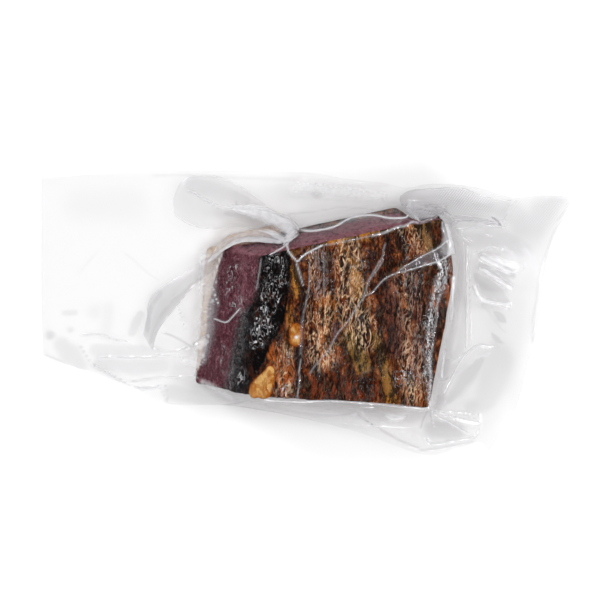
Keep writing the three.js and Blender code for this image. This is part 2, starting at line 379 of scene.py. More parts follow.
class Tree:
    """Adds nodes to the tree of a material or of the world, and returns their output sockets."""

    def __init__(self, owner: bpy.types.Material | bpy.types.World) -> None:
        """Empties the owner's tree."""
        owner.use_nodes = True
        self.owner = owner
        self.nodes = owner.node_tree.nodes
        self.links = owner.node_tree.links
        self.nodes.clear()

    def add(self, kind: str, inputs: dict | None = None, output: str | int = 0, **settings) -> Socket:
        """Adds one node.

        Args:
            kind: The node's type without its "ShaderNode" start.
            inputs: What goes into its sockets by name or number: a socket to link or a plain value.
            output: Which output to return.
            **settings: The node's own properties.

        Returns:
            The output socket.
        """
        node = self.nodes.new("ShaderNode" + kind)
        for key, value in settings.items():
            setattr(node, key, value)
        for key, value in (inputs or {}).items():
            if isinstance(value, Socket):
                self.links.new(value, node.inputs[key])
            else:
                node.inputs[key].default_value = value
        return node.outputs[output]

    def value(self, name: str) -> Socket:
        """Reads a number stored on the mesh."""
        return self.add("Attribute", output="Fac", attribute_name=name)

    def math(self, operation: str, a: Value, b: Value = 0.0, clamp: bool = False) -> Socket:
        """Joins two numbers by an operation."""
        return self.add("Math", {0: a, 1: b}, operation=operation, use_clamp=clamp)

    def scaled(self, value: Value, factor: Value, plus: Value = 0.0) -> Socket:
        """A number times a factor, plus another."""
        return self.add("Math", {0: value, 1: factor, 2: plus}, operation="MULTIPLY_ADD")

    def centred(self, noise: Socket) -> Socket:
        """Noise about nought."""
        return self.math("SUBTRACT", noise, 0.5)

    def times(self, *factors: Value) -> Socket:
        """The product of several numbers."""
        product = factors[0]
        for factor in factors[1:]:
            product = self.math("MULTIPLY", product, factor)
        return product

    def span(
        self, value: Value, low: float, high: float, to_low: float = 0.0, to_high: float = 1.0
    ) -> Socket:
        """Maps a number smoothly from one range to another."""
        inputs = {"Value": value, 1: low, 2: high, 3: to_low, 4: to_high}
        return self.add("MapRange", inputs, interpolation_type="SMOOTHSTEP")

    def blend(self, share: Value, a: Socket | Colour, b: Socket | Colour) -> Socket:
        """Mixes two colours by a share. A screen colour is made linear first."""
        a, b = (side if isinstance(side, Socket) else linear(side) for side in (a, b))
        return self.add("Mix", {0: share, 6: a, 7: b}, output=2, data_type="RGBA")

    def swayed(self, cell: Sequence[float], reach: Sequence[float], place: Socket | None = None) -> Socket:
        """Object coordinates pushed to and fro by slow noise, so that straight streaks bend and cross.

        Args:
            cell: Size of the noise's cells in millimetres along X, Y and Z.
            reach: How far it pushes along each axis, in millimetres.
            place: Coordinates to push in place of the object's own.

        Returns:
            The pushed coordinates.
        """
        place = place or self.add("TexCoord", output="Object")
        scaled = self.add("Mapping", {"Vector": place, "Scale": tuple(1.0 / (MM * c) for c in cell)})
        noise = self.add("TexNoise", {"Vector": scaled, "Scale": 1.0, "Detail": 2.0}, output="Color")
        centred = self.add("VectorMath", {0: noise, 1: (0.5, 0.5, 0.5)}, operation="SUBTRACT")
        whole_reach = tuple(2 * MM * r for r in reach)
        pushed = self.add("VectorMath", {0: centred, 1: whole_reach}, operation="MULTIPLY")
        return self.add("VectorMath", {0: place, 1: pushed}, operation="ADD")

    def streaks(
        self,
        size: Sequence[float],
        detail: float,
        warp: float = 0.0,
        shift: float = 0.0,
        place: Socket | None = None,
        turn: float = 0.0,
    ) -> Socket:
        """Noise whose cells have a real size along each axis.

        Args:
            size: Size of a cell in millimetres along X, Y and Z.
            detail: How many finer octaves to add.
            warp: How far the noise bends itself.
            shift: Moves the pattern by that many cells, so two of one size differ.
            place: Coordinates to use in place of the object's own.
            turn: Degrees that the cells are turned by in plan.

        Returns:
            The noise, about 0.2 to 0.8.
        """
        inputs = {
            "Vector": place or self.add("TexCoord", output="Object"),
            "Location": tuple(-shift * MM * s for s in size),
            "Rotation": (0, 0, math.radians(turn)),
            "Scale": tuple(MM * s for s in size),
        }
        place = self.add("Mapping", inputs, vector_type="TEXTURE")
        inputs = {"Vector": place, "Scale": 1.0, "Detail": detail, "Distortion": warp}
        return self.add("TexNoise", inputs, noise_type="FBM", normalize=True)

    def ridges(self, noise: Socket, width: float = 0.12) -> Socket:
        """Folds noise into lines: 1 where it crosses its middle and 0 further off than the width."""
        return self.span(self.math("ABSOLUTE", self.centred(noise)), width, 0.0)

    def bump(self, height: Value, distance: float, strength: float, below: Socket | None = None) -> Socket:
        """Turns a height into a bumped normal, on top of another if one is given."""
        inputs = {"Height": height, "Distance": distance * MM, "Strength": strength}
        if below is not None:
            inputs["Normal"] = below
        return self.add("Bump", inputs)

    def finish(self, shader: Socket) -> bpy.types.Material | bpy.types.World:
        """Sends a shader to the surface, and gives the dressed owner back."""
        world = isinstance(self.owner, bpy.types.World)
        out = self.nodes.new("ShaderNodeOutputWorld" if world else "ShaderNodeOutputMaterial")
        self.links.new(shader, out.inputs["Surface"])
        return self.owner


# ---------------------------------------------------------------------------
# The pack's plan
# ---------------------------------------------------------------------------


@dataclass(frozen=True)
class Plan:
    """The bag's outline and the block's top corners, in plan, and how a height is seen from the camera."""

    near_edge: Path = (
        (-139.5, -22.5),
        (-128, -27),
        (-93.5, -38.5),
        (-75, -47.5),
        (-38, -48.5),
        (-4.5, -54.5),
        (27, -62.5),
        (59.5, -73.5),
        (78, -69.5),
        (88.5, -67),
        (93, -72),
    )
    far_edge: Path = (
        (-140.5, 70.5),
        (-98, 73.5),
        (-66, 74),
        (-4, 73),
        (17, 70),
        (38, 67.5),
        (51, 65),
        (64, 67),
        (85, 65.5),
        (105.5, 60),
        (122, 61),
        (140.5, 60),
    )
    left_edge: Path = ((-139.5, -22.5), (-140.5, 10), (-140.5, 70.5))
    right_edge: Path = (
        (93, -72),
        (106.5, -52),
        (113, -29),
        (118.5, -9),
        (123, 22.5),
        (129, 43),
        (140.5, 60),
    )
    near_left: Point = (-30, -41.5)
    near_right: Point = (60, -48)
    right: Point = (73, 21.5)
    far_right: Point = (67, 49)
    far_left: Point = (-24, 29.5)
    meets: tuple[Point, ...] = ((0.45, 0.84), (0.4, 0.76), (0.22, 0.68), (0.2, 0.8))
    crowding: float = 1.5
    camera: tuple[float, float, float] = (-4.7, 6.55, 880.0)
    seen_height: float = 45.0

    def middle(self) -> Array:
        """The middle of the outline's box, which lies over the frame's origin."""
        edges = (self.near_edge, self.far_edge, self.left_edge, self.right_edge)
        line = np.vstack([Route(edge, steps=24).line for edge in edges])
        return (line.min(axis=0) + line.max(axis=0)) / 2

    def place(self, points: Array) -> Array:
        """Plan points in millimetres as frame points in metres."""
        return (points - np.array([*self.middle(), 0.0])) * MM

    def seen(self, points: Array) -> Array:
        """Where the camera sees points, measured in the plane of the block's top.

        A point is carried along its line of sight to the seen height, so a patch found in the photograph
        can be given by its place there and still lies right on a slope.

        Args:
            points: Points in plan, one row each.

        Returns:
            x and y in that plane, one row each.
        """
        x, y, z = self.camera
        scale = (z - self.seen_height) / (z - points[:, 2])
        return np.array([x, y]) + (points[:, :2] - np.array([x, y])) * scale[:, None]

    def grid(self, columns: Sequence[int], rows: Sequence[int]) -> Array:
        """Lays a grid over the bag whose lines follow its edges and the block's top edges.

        The plan is cut into three by three cells. Each cell is a Coons patch: the blend of its near and far
        lines, plus the blend of its left and right lines, less the blend of its four corners. The outer
        cells' lines crowd towards the block by a power.

        Args:
            columns: Cells across the stretch left of the block, over it and right of it.
            rows: Cells across the stretch near, over and far.

        Returns:
            Plan points, rows by columns by 2.
        """
        steps = 24
        edges = {
            "near": self.near_edge,
            "far": self.far_edge,
            "left": self.left_edge,
            "right": self.right_edge,
        }
        bounds = {name: Route(edge, steps) for name, edge in edges.items()}
        cuts = {name: (0.0, *meets, 1.0) for name, meets in zip(bounds, self.meets)}

        def along(name: str, k: int, t: Array) -> Array:
            """The stretch of an outer edge that bounds cell k, at shares t."""
            return bounds[name].at(cuts[name][k] + (cuts[name][k + 1] - cuts[name][k]) * t)

        def straight(a: Array, b: Array, t: Array) -> Array:
            """The straight line from a to b, at shares t."""
            return np.array(a) + (np.array(b) - np.array(a)) * t[:, None]

        corner = [[self.near_left, self.near_right], [self.far_left, self.far_right]]
        bulge = Route((self.near_right, self.right, self.far_right), steps)
        end = np.array([0.0])

        def row_line(b: int, a: int, t: Array) -> Array:
            """The near line of band b in column a, at shares t."""
            if b in (0, 3):
                return along("near" if b == 0 else "far", a, t)
            left, right = corner[b - 1]
            if a == 0:
                return straight(along("left", b, end)[0], left, t)
            if a == 2:
                return straight(right, along("right", b, end)[0], t)
            return straight(left, right, t)

        def column_line(a: int, b: int, t: Array) -> Array:
            """The left line of column a in band b, at shares t."""
            if a in (0, 3):
                return along("left" if a == 0 else "right", b, t)
            near, far = corner[0][a - 1], corner[1][a - 1]
            if b == 0:
                return straight(along("near", a, end)[0], near, t)
            if b == 2:
                return straight(far, along("far", a, end)[0], t)
            return bulge.at(t) if a == 2 else straight(near, far, t)

        bands = []
        for b in range(3):
            t = self.shares(b, rows[b])
            band = []
            for a in range(3):
                s = self.shares(a, columns[a])
                near, far = row_line(b, a, s)[None], row_line(b + 1, a, s)[None]
                left, right = column_line(a, b, t)[:, None], column_line(a + 1, b, t)[:, None]
                u, v = s[None, :, None], t[:, None, None]
                cell = (1 - v) * near + v * far + (1 - u) * left + u * right
                cell -= (1 - u) * ((1 - v) * near[:, :1] + v * far[:, :1])
                cell -= u * ((1 - v) * near[:, -1:] + v * far[:, -1:])
                band.append(cell if a == 2 else cell[:, :-1])
            whole = np.concatenate(band, axis=1)
            bands.append(whole if b == 2 else whole[:-1])
        return np.concatenate(bands, axis=0)

    def shares(self, band: int, count: int) -> Array:
        """Shares of the grid's lines across one band, crowded towards the block in the outer two."""
        t = np.linspace(0, 1, count + 1)
        if band == 0:
            return 1 - (1 - t) ** self.crowding
        return t if band == 1 else t**self.crowding


# ---------------------------------------------------------------------------
# The ham
# ---------------------------------------------------------------------------


@dataclass(frozen=True)
class Patch:
    """A place given by where the camera sees it: a spot, or a stroke along a path with reaches along it."""

    path: Path
    reach: float | tuple[float, ...]
    strength: float = 1.0
    plateau: float = 0.0

    def over(self, seen: Array, wander: Array | float = 0.0) -> Array:
        """How strongly the patch covers seen points.

        The cover is full out to the plateau's share of the reach and falls smoothly to 0 at the reach. The
        reaches are spread evenly along the path and blended in between.

        Args:
            seen: Seen places, one row each.
            wander: How far the edge is moved in or out at each.

        Returns:
            The cover, 0 to the patch's strength.
        """
        widest_wander = 3.0
        path, widest = np.array(self.path), np.max(self.reach) + widest_wander
        close = np.all((seen > path.min(axis=0) - widest) & (seen < path.max(axis=0) + widest), axis=1)
        if len(path) == 1:
            distance, share = np.hypot(*(seen[close] - path[0]).T), np.zeros(close.sum())
        else:
            distance, share = Route(self.path, 5).nearest(seen[close])
        moved = np.broadcast_to(wander, len(seen))[close]
        off = np.maximum(np.abs(distance) + moved, 0) / spread(self.reach, share)
        cover = np.zeros(len(seen))
        cover[close] = self.strength * smooth(1.0, self.plateau, off)
        return cover


def all_over(patches: Sequence[Patch], seen: Array, wander: Array | float = 0.0) -> Array:
    """The strongest of several patches at each point."""
    return np.max([patch.over(seen, wander) for patch in patches], axis=0)


@dataclass(frozen=True)
class HamFinish:
    """Smoked ham: a fibrous brown crust with pale lines, partly its own threads and partly painted glints of
    the film's wrinkles, a charred strip, purple cut meat and fat.

    The numbers stored on the mesh say where each of them lies.
    """

    crust_dark: Colour = (38, 15, 8)
    crust: Colour = (98, 42, 14)
    crust_light: Colour = (172, 100, 52)
    strand_glint: Colour = (252, 212, 170)
    strand_glint_grey: Colour = (178, 154, 152)
    gold: Colour = (202, 130, 46)
    amber: Colour = (172, 84, 28)
    deep: Colour = (112, 38, 8)
    olive: Colour = (148, 112, 54)
    lilac: Colour = (98, 66, 64)
    dark: Colour = (16, 9, 8)
    char: Colour = (4, 2, 2)
    char_grey: Colour = (108, 96, 94)
    char_brown: Colour = (58, 28, 14)
    meat_dark: Colour = (58, 20, 28)
    meat: Colour = (102, 46, 58)
    meat_light: Colour = (164, 112, 122)
    pink: Colour = (178, 118, 128)
    fat: Colour = (190, 110, 34)
    fat_light: Colour = (234, 184, 112)
    fat_pale: Colour = (244, 222, 204)
    # The stains' share in the crust's darkest places, partly a painted shade of the relief's valleys.
    valley: float = 0.3
    roughness: float = 0.6
    shine: float = 0.05

    def stain(self, t: Tree, light: Socket, shade: Colour) -> Socket:
        """A stain's colour, from a third of its shade where the crust is darkest to all of it where it is
        lightest; as that lightness partly follows the relief, this is partly a painted shade in the valleys.
        """
        low = tuple(channel * self.valley for channel in shade)
        return t.blend(t.span(light, 0.0, 0.9), low, shade)

    def crust_colour(self, t: Tree) -> tuple[Socket, Socket]:
        """The smoked crust: dark to light fibres, partly a painted shade of the relief, then the stained
        places, then pale lines that are partly painted glints.

        Args:
            t: The material's tree.

        Returns:
            The colour and how light the fibres are, 0 to 1.
        """
        sway = t.swayed((13, 20, 20), (3.4, 1.6, 1.6))
        wavy = t.swayed((4.2, 6.0, 6.0), (1.1, 0.5, 0.5), sway)
        bundle = t.streaks((4.0, 20, 20), 2, warp=0.6, shift=2.9, place=sway)
        fibre = t.streaks((1.4, 4.2, 4.2), 3, warp=0.6, place=wavy)
        fine = t.streaks((0.7, 1.0, 1.0), 2, warp=0.8, shift=3.1, place=sway)
        mottle = t.streaks((6, 9, 9), 2, warp=0.8, shift=7.7)
        lace = t.ridges(t.streaks((2.2, 16, 16), 2, shift=1.3, place=wavy, turn=-3), 0.034)
        cross = t.ridges(t.streaks((2.0, 9, 9), 2, shift=8.3, place=wavy, turn=-24), 0.032)
        web = t.ridges(t.streaks((1.7, 6, 6), 2, shift=4.9, place=wavy, turn=24), 0.036)
        crack = t.ridges(t.streaks((3.4, 14, 14), 2, shift=6.6, place=wavy, turn=6), 0.06)

        light: Value = 0.4
        for noise, weight in ((fibre, 1.2), (fine, 1.7), (bundle, 2.2), (mottle, 1.8)):
            light = t.scaled(t.centred(noise), weight, light)
        # Painted light and shade: the crust is lighter on the ridges of its relief and darker in its valleys,
        # and lighter where the painted glints lie.
        for share, weight in ((t.value("raise"), 0.3), (t.value("strand_glint_cover"), 0.2), (crack, -0.6)):
            light = t.scaled(share, weight, light)
        colour = t.blend(t.span(light, 0.05, 0.6), self.crust_dark, self.crust)
        colour = t.blend(t.span(light, 0.55, 1.25), colour, self.crust_light)
        for name in ("gold", "amber", "deep", "olive"):
            colour = t.blend(t.value(name), colour, self.stain(t, light, getattr(self, name)))
        colour = t.blend(t.times(t.value("lilac"), 0.7), colour, self.stain(t, light, self.lilac))
        colour = t.blend(t.times(t.value("dark"), t.span(fine, 0.7, 0.35)), colour, self.dark)

        # Painted glints: pale lines, partly the crust's own threads, laid over the colour where the listed
        # patches allow.
        strand_glints = t.times(t.math("MAXIMUM", lace, cross), t.span(fibre, 0.34, 0.54))
        webbed = t.times(web, t.span(mottle, 0.44, 0.62), t.span(fine, 0.3, 0.5), 0.8)
        strand_glints = t.times(t.math("MAXIMUM", strand_glints, webbed), t.value("strand_glint_cover"))
        dull = t.math("MAXIMUM", t.value("lilac"), t.value("dark"))
        return t.blend(strand_glints, colour, t.blend(dull, self.strand_glint, self.strand_glint_grey)), light

    def meat_colour(self, t: Tree, ragged: Socket, speck: Socket, cut_fibre: Socket) -> Socket:
        """The purple cut: dark and light meat along its fibres, pink in the listed places and over the far
        cut face.

        Args:
            t: The material's tree.
            ragged: Fine noise about nought.
            speck: Noise whose tops are specks.
            cut_fibre: Noise along the cut's fibres.

        Returns:
            The colour.
        """
        light = t.scaled(ragged, 1.2, cut_fibre)
        light = t.scaled(t.span(speck, 0.6, 0.75), 0.35, light)
        meat = t.blend(t.span(light, 0.2, 0.52), self.meat_dark, self.meat)
        meat = t.blend(t.span(light, 0.5, 0.95), meat, self.meat_light)
        return t.blend(t.times(t.value("pink"), t.span(cut_fibre, 0.2, 0.6)), meat, self.pink)

    def char_colour(self, t: Tree, speck: Socket) -> Socket:
        """The charred strip: black with brown mottles and grey specks."""
        mottle = t.streaks((3, 6, 6), 3, warp=1.2, shift=1.9)
        charred = t.blend(t.span(mottle, 0.52, 0.7), self.char, self.char_brown)
        return t.blend(t.span(speck, 0.6, 0.8), charred, self.char_grey)

    def fat_colour(self, t: Tree, cut_fibre: Socket) -> Socket:
        """The fat: golden lobes with darker seams, lighter towards the middle and amber at the edge as a
        painted shading of their roundness, or a pale rind.

        Args:
            t: The material's tree.
            cut_fibre: Noise along the cut's fibres.

        Returns:
            The colour.
        """
        lobes = t.streaks((5, 6, 6), 2, warp=0.8, shift=2.4)
        # Painted shading: lighter where the fat's cover is fullest and amber towards its edge, so a nodule
        # reads as round.
        painted_roundness = t.scaled(t.value("fat"), 0.5, lobes)
        fat = t.blend(t.span(painted_roundness, 0.84, 1.12), self.fat, self.fat_light)
        fat = t.blend(t.times(t.ridges(lobes, 0.06), 0.3), fat, self.amber)
        fat = t.blend(t.span(t.value("fat"), 0.5, 0.9), self.amber, fat)
        rind = t.blend(t.times(t.span(cut_fibre, 0.4, 0.75), 0.6), self.fat_pale, self.fat_light)
        return t.blend(t.value("pale"), fat, rind)

    def material(self) -> bpy.types.Material:
        """Builds the material.

        The crust's colour comes first. The numbers stored on the mesh then lay the cut, frosted, charred and
        fat places over it, each with its edge broken up by fine noise.

        Returns:
            The material.
        """
        t = Tree(bpy.data.materials.new("smoked_ham"))
        colour, light = self.crust_colour(t)
        ragged = t.centred(t.streaks((0.8, 1.1, 1.1), 3, shift=5.5))
        speck = t.streaks((1.3, 1.9, 1.9), 3, warp=1.2, shift=6.1)
        cut_fibre = t.streaks((2.2, 4.2, 4), 3, warp=0.8, shift=9.2)

        cut = t.span(t.scaled(ragged, 0.5, t.value("cut")), 0.4, 0.6)
        colour = t.blend(cut, colour, self.meat_colour(t, ragged, speck, cut_fibre))
        frost = t.span(t.scaled(t.centred(speck), 2.2, t.value("frost")), 0.45, 0.75)
        ash = t.blend(t.span(speck, 0.52, 0.68), self.char, self.char_grey)
        colour = t.blend(t.times(frost, 0.85), colour, ash)
        char = t.span(t.math("ADD", ragged, t.value("char")), 0.36, 0.6)
        colour = t.blend(char, colour, self.char_colour(t, speck))
        fat = t.span(t.scaled(ragged, 0.5, t.value("fat")), 0.35, 0.6)
        colour = t.blend(fat, colour, self.fat_colour(t, cut_fibre))

        normal = t.bump(speck, 0.5, 0.5, t.bump(light, 1.2, 0.9))
        look = {"Base Color": colour, "Roughness": self.roughness, "Specular IOR Level": self.shine}
        return t.finish(t.add("BsdfPrincipled", {**look, "Normal": normal}))


class Side(IntEnum):
    """The block's sides, in the order of their planes."""

    TOP = 0
    FOOT = 1
    NEAR = 2
    RIGHT = 3
    FAR_RIGHT = 4
    FAR = 5
    LEFT = 6


@dataclass(frozen=True)
class HamBlock:
    """The block of ham: a wedge-cut box with a slightly domed smoked top and a long sloping cut face.

    Patches are given where the camera sees them, in the plane of the top.
    """

    plan: Plan
    height: float = 45.0
    crown: Point = (22.0, 0.0)
    fall: float = 0.0011
    underside: float = 0.4
    centre: tuple[float, float, float] = (8.0, -3.0, 21.0)
    half_size: tuple[float, float, float] = (68.0, 48.0, 24.0)
    counts: tuple[int, int, int] = (190, 146, 40)
    roundness: float = 55.0
    near_lean: float = -2.0
    right_lean: float = 1.5
    far_right_lean: float = 2.0
    far_lean: float = 11.0
    ledge: float = 4.5
    ledge_x: tuple[float, float, float, float] = (-50.0, -40.0, -14.0, -6.0)
    tuck: float = 9.5
    tuck_x: Point = (44.0, 57.0)
    left_lean: float = 31.0
    char_left: Path = (
        (-22, 45),
        (-24, 29.5),
        (-25, 19),
        (-26, 9.5),
        (-30, 2.5),
        (-34, -3.5),
        (-36.5, -16),
        (-39.5, -37.5),
        (-42, -60),
    )
    char_right: Path = (
        (-9, 45),
        (-9.5, 31),
        (-10, 21.5),
        (-10.5, 11.5),
        (-13, -3.5),
        (-19.5, -16),
        (-23.5, -26),
        (-30.5, -37.5),
        (-36, -60),
    )
    nodules: tuple[Patch, ...] = (
        Patch(((-26, -42.5), (-19.5, -28.5)), (7.5, 7, 6, 3), 1, 0.5),
        Patch(((-19.5, -20.5), (-17.5, -15)), (2, 1), 0.5, 0.3),
        Patch(((-7.2, -13.5), (-6.7, -8.5)), 5, 1, 0.3),
    )
    gold_lines: tuple[Patch, ...] = (
        Patch(((-43.7, 36), (-38.7, 39.5), (-29.7, 41), (-23.7, 41), (-18.7, 39.5)),
              (1.8, 0.9, 0.7, 0.7), 0.9, 0.2),
    )
    golden: tuple[Patch, ...] = (
        Patch(((-8, 21.5), (-6.5, 15.5), (-6, 8)), (2.5, 3.5, 2), 1, 0.5),
        Patch(((-11, 2.5), (-9, -6), (-10.5, -19.5)), (3, 4), 0.6),
        Patch(((-37.5, -40.5), (-28.5, -42.5)), (3.5, 3), 0.9),
        Patch(((18, 31.5), (21.5, 22.5), (24.5, 8.5)), (4, 5, 4), 0.55),
        Patch(((8.5, 7.5), (11.5, -2.5), (9.5, -14.5)), (6, 7.5, 6), 0.5),
        Patch(((38, -34.5), (41, -45)), (4.5, 6), 0.8, 0.2),
        Patch(((15.5, 35), (29.5, 37.5)), 1.5, 0.6, 0.3),
    )
    ambers: tuple[Patch, ...] = (
        Patch(((4.5, 10.5), (10.5, -6), (8, -24.5)), (8, 10), 0.6),
        Patch(((71.5, 14), (70.5, 1.5), (66, -24.5)), (3, 3.5, 3.5, 2), 1, 0.6),
        Patch(((-16.5, -21.5), (-12.5, -32.5), (-17, -42.5)), (7, 10), 0.8, 0.3),
        Patch(((43.5, -30.5), (48, -37.5), (54, -42.5)), (6, 6.5), 0.7),
        Patch(((51, 42.5), (59, 36.5)), 6, 0.4),
        Patch(((61, 25.5), (62, 6.5)), 3, 0.45),
    )
    olives: tuple[Patch, ...] = (
        Patch(((20.5, -12.5), (27, -26.5)), (6.5, 7, 6), 0.95, 0.2),
        Patch(((32.5, -12.5), (37, -24.5), (40, -39.5)), (4.5, 5), 0.75),
        Patch(((57, 43.5), (60, 32.5)), (6.5, 4.5), 0.65),
        Patch(((23.5, 25.5), (25.5, 6.5), (28.5, -8.5)), (3.5, 3), 0.5),
        Patch(((-10.5, 28.5), (-6.5, 30.5)), 2, 0.6),
    )
    deeps: tuple[Patch, ...] = (
        Patch(((-0.5, -36.5), (15.5, -37.5), (34.5, -37.5)), (9, 8.5), 0.95, 0.2),
        Patch(((32.5, 22.5), (39, 25.5)), (6, 5), 0.9, 0.3),
        Patch(((45, 40.5), (53, 31.5)), 7, 0.6),
        Patch(((41, -2.5), (43, -18.5)), (4, 5), 0.5),
        Patch(((51, -29.5), (55, -41.5)), 5, 0.5),
    )
    darks: tuple[Patch, ...] = (
        Patch(((40.5, 41.5), (41, 34.5), (37, 28.5)), (6, 4), 0.95, 0.2),
        Patch(((4.5, 30.5), (7, 20.5), (3.5, 10.5)), (6.5, 5.5), 0.8, 0.3),
        Patch(((30, 30.5), (31, 22.5)), (2, 1.5), 0.95, 0.3),
        Patch(((41.5, 31.5), (42.5, 27.5)), 1.5, 0.9, 0.3),
        Patch(((-3, 25.5), (-3.5, 11.5), (-6, -3.5), (-10.5, -16)), 2.5, 0.8),
        Patch(((-6, -19.5), (-6, -36.5)), (1.5, 1), 0.95, 0.3),
        Patch(((28.5, -15), (31, -19.5), (27.5, -24.5)), (3, 2.5), 0.6),
        Patch(((46, 10.5), (46.5, -2.5)), 2.5, 0.6),
        Patch(((-2, -43), (20.5, -43), (45, -45.5)), 2, 0.5),
        Patch(((36, -19.5), (36.5, -25.5)), 1.5, 0.7),
        Patch(((21, 3.5), (23.5, -2.5), (26.5, -6.5)), 2, 0.6),
    )
    lilacs: tuple[Patch, ...] = (
        Patch(((13.5, -5.5), (12.5, -12.5)), 2.5, 1.3, 0.5),
        Patch(((40, 12.5), (44, -19.5)), (7.5, 7), 0.7),
        Patch(((52, 17.5), (54, -3.5), (52, -29.5)), 8, 0.6),
        Patch(((3.5, 27.5), (4.5, 14.5)), 4.5, 0.6),
        Patch(((67, 22.5), (66, 6.5), (63, -13.5)), (3.5, 3), 0.5),
    )
    # Where the pale lines, partly painted glints, show.
    strand_glint_patches: tuple[Patch, ...] = (
        Patch(((19.5, 31.5), (21.5, 6.5), (26.5, -11)), (10, 12), 0.95, 0.3),
        Patch(((4.5, 6.5), (6.5, -21)), (9, 10), 0.95, 0.3),
        Patch(((3.5, 28.5), (5.5, 14)), (7, 6), 0.9, 0.3),
        Patch(((-12.5, -19.5), (-12.5, -39.5)), 7, 0.8),
        Patch(((50, 40.5), (55, 31.5)), (9, 8), 0.7),
        Patch(((51, -18.5), (53, -39.5)), (10, 9), 0.8, 0.2),
        Patch(((49, 16.5), (51, -8.5)), 10, 0.6),
    )
    pinks: tuple[Patch, ...] = (
        Patch(((-39, 33.5), (-28.5, 30)), (1.5, 1), 0.8, 0.3),
        Patch(((-33.5, 30.5), (-33, 14), (-35.5, 0.5)), (2.5, 2), 0.3),
        Patch(((-54.5, -34), (-40.5, -41)), (3, 2.5), 0.7),
    )
    frost_width: Point = (2.5, 8.0)
    crust_foot: float = 15.0
    crust_foot_waver: float = 3.0
    crust_foot_rise: float = 4.0
    crust_foot_rise_x: Point = (-8.0, -22.0)
    fat_swell: float = 1.9
    meat_left: Path = (
        (-40, 42),
        (-43, 31.5),
        (-47, 19),
        (-50.8, 3),
        (-52, -10),
        (-54.5, -24),
        (-57.5, -32),
        (-64, -45),
    )

    def planes(self) -> tuple[Array, Array]:
        """The block's six sides as planes.

        A side runs between two corners of the top and its foot stands out by its lean, so its normal is the
        level outward normal with lean / height added upwards.

        Returns:
            Unit normals, one row each, and each plane's distance along its normal. The top comes first.
        """
        p = self.plan
        sides = (
            (p.near_left, p.near_right, self.near_lean),
            (p.near_right, p.right, self.right_lean),
            (p.right, p.far_right, self.far_right_lean),
            (p.far_right, p.far_left, self.far_lean),
            (p.far_left, p.near_left, self.left_lean),
        )
        normals, reaches = [(0, 0, 1), (0, 0, -1)], [self.height, -self.underside]
        for a, b, lean in sides:
            run = np.array(b) - np.array(a)
            out = np.array([run[1], -run[0]]) / np.hypot(*run)
            normals.append((*out, lean / self.height))
            reaches.append(out @ np.array(a) + lean)
        normals, reaches = np.array(normals, float), np.array(reaches)
        size = np.linalg.norm(normals, axis=1)
        return normals / size[:, None], reaches / size

    def depth(self, points: Array, side: Side) -> Array:
        """How far points lie inside one side's plane."""
        normals, reaches = self.planes()
        return reaches[side] - points @ normals[side]

    def lattice(self) -> tuple[Array, Array]:
        """Covers a box with a closed lattice.

        Every lattice point on the box's six faces is numbered by its whole coordinates, so points shared by
        two faces are one.

        Returns:
            Points on the box with sides at -1 and 1, and the quads between them, facing out.
        """
        keys, quads = [], []
        strides = np.array([1, self.counts[0] + 1, (self.counts[0] + 1) * (self.counts[1] + 1)])
        for axis in range(3):
            u, v = (axis + 1) % 3, (axis + 2) % 3
            i, j = np.meshgrid(np.arange(self.counts[u] + 1), np.arange(self.counts[v] + 1), indexing="ij")
            for end in (0, self.counts[axis]):
                key = i * strides[u] + j * strides[v] + end * strides[axis]
                corner = [key[:-1, :-1], key[1:, :-1], key[1:, 1:], key[:-1, 1:]]
                quads.append(np.stack(corner if end else corner[::-1], -1).reshape(-1, 4))
                keys.append(key.ravel())
        numbers = np.unique(np.concatenate(keys))
        faces = np.searchsorted(numbers, np.concatenate(quads))
        middle = numbers // strides[1] % (self.counts[1] + 1)
        whole = np.stack([numbers % strides[1], middle, numbers // strides[2]], -1)
        return whole / np.array(self.counts) * 2 - 1, faces

    def surface(self) -> tuple[Array, Array, Array, Array]:
        """Works the block's smooth surface out.

        From the centre, a ray through each point of the box lattice meets every plane that faces it at a
        distance t. The block's surface lies at (sum t^-p)^(-1/p), a rounded form of the nearest plane, and
        its normal is the planes' normals weighed by t^-p.

        Returns:
            Points, unit normals, the top's weight at each point, and the quads.
        """
        box, faces = self.lattice()
        rays = box * np.array(self.half_size)
        rays /= np.linalg.norm(rays, axis=1)[:, None]
        centre = np.array(self.centre)
        normals, reaches = self.planes()
        facing = rays @ normals.T
        least = 1e-6
        near = np.where(facing > least, facing, least) / (reaches - normals @ centre)
        weight = near**self.roundness
        total = weight.sum(axis=1)
        points = centre + rays * (total ** (-1 / self.roundness))[:, None]
        weight /= total[:, None]
        out = weight @ normals
        out /= np.linalg.norm(out, axis=1)[:, None]
        dome = self.fall * ((points[:, 0] - self.crown[0]) ** 2 + (points[:, 1] - self.crown[1]) ** 2)
        up = np.clip((points[:, 2] - self.underside) / self.height, 0, 1)
        points[:, 2] -= dome * up**2
        return points, out, weight[:, Side.TOP], faces

    def patches(self, points: Array, top: Array) -> dict[str, Array]:
        """Works out how far each finish covers each point, from where the camera sees it.

        Args:
            points: Points of the block.
            top: The top's weight at each.

        Returns:
            Numbers from 0 to 1 under the names that the material reads.
        """
        seen = self.plan.seen(points)
        wander = 1.3 * fractal_noise(points, (5, 7, 7), 11)
        x, z = points[:, 0], points[:, 2]
        far, near = self.depth(points, Side.FAR), self.depth(points, Side.NEAR)
        on_far, above_far = smooth(2.2, 1.0, far), smooth(0.8, 2.0, far)

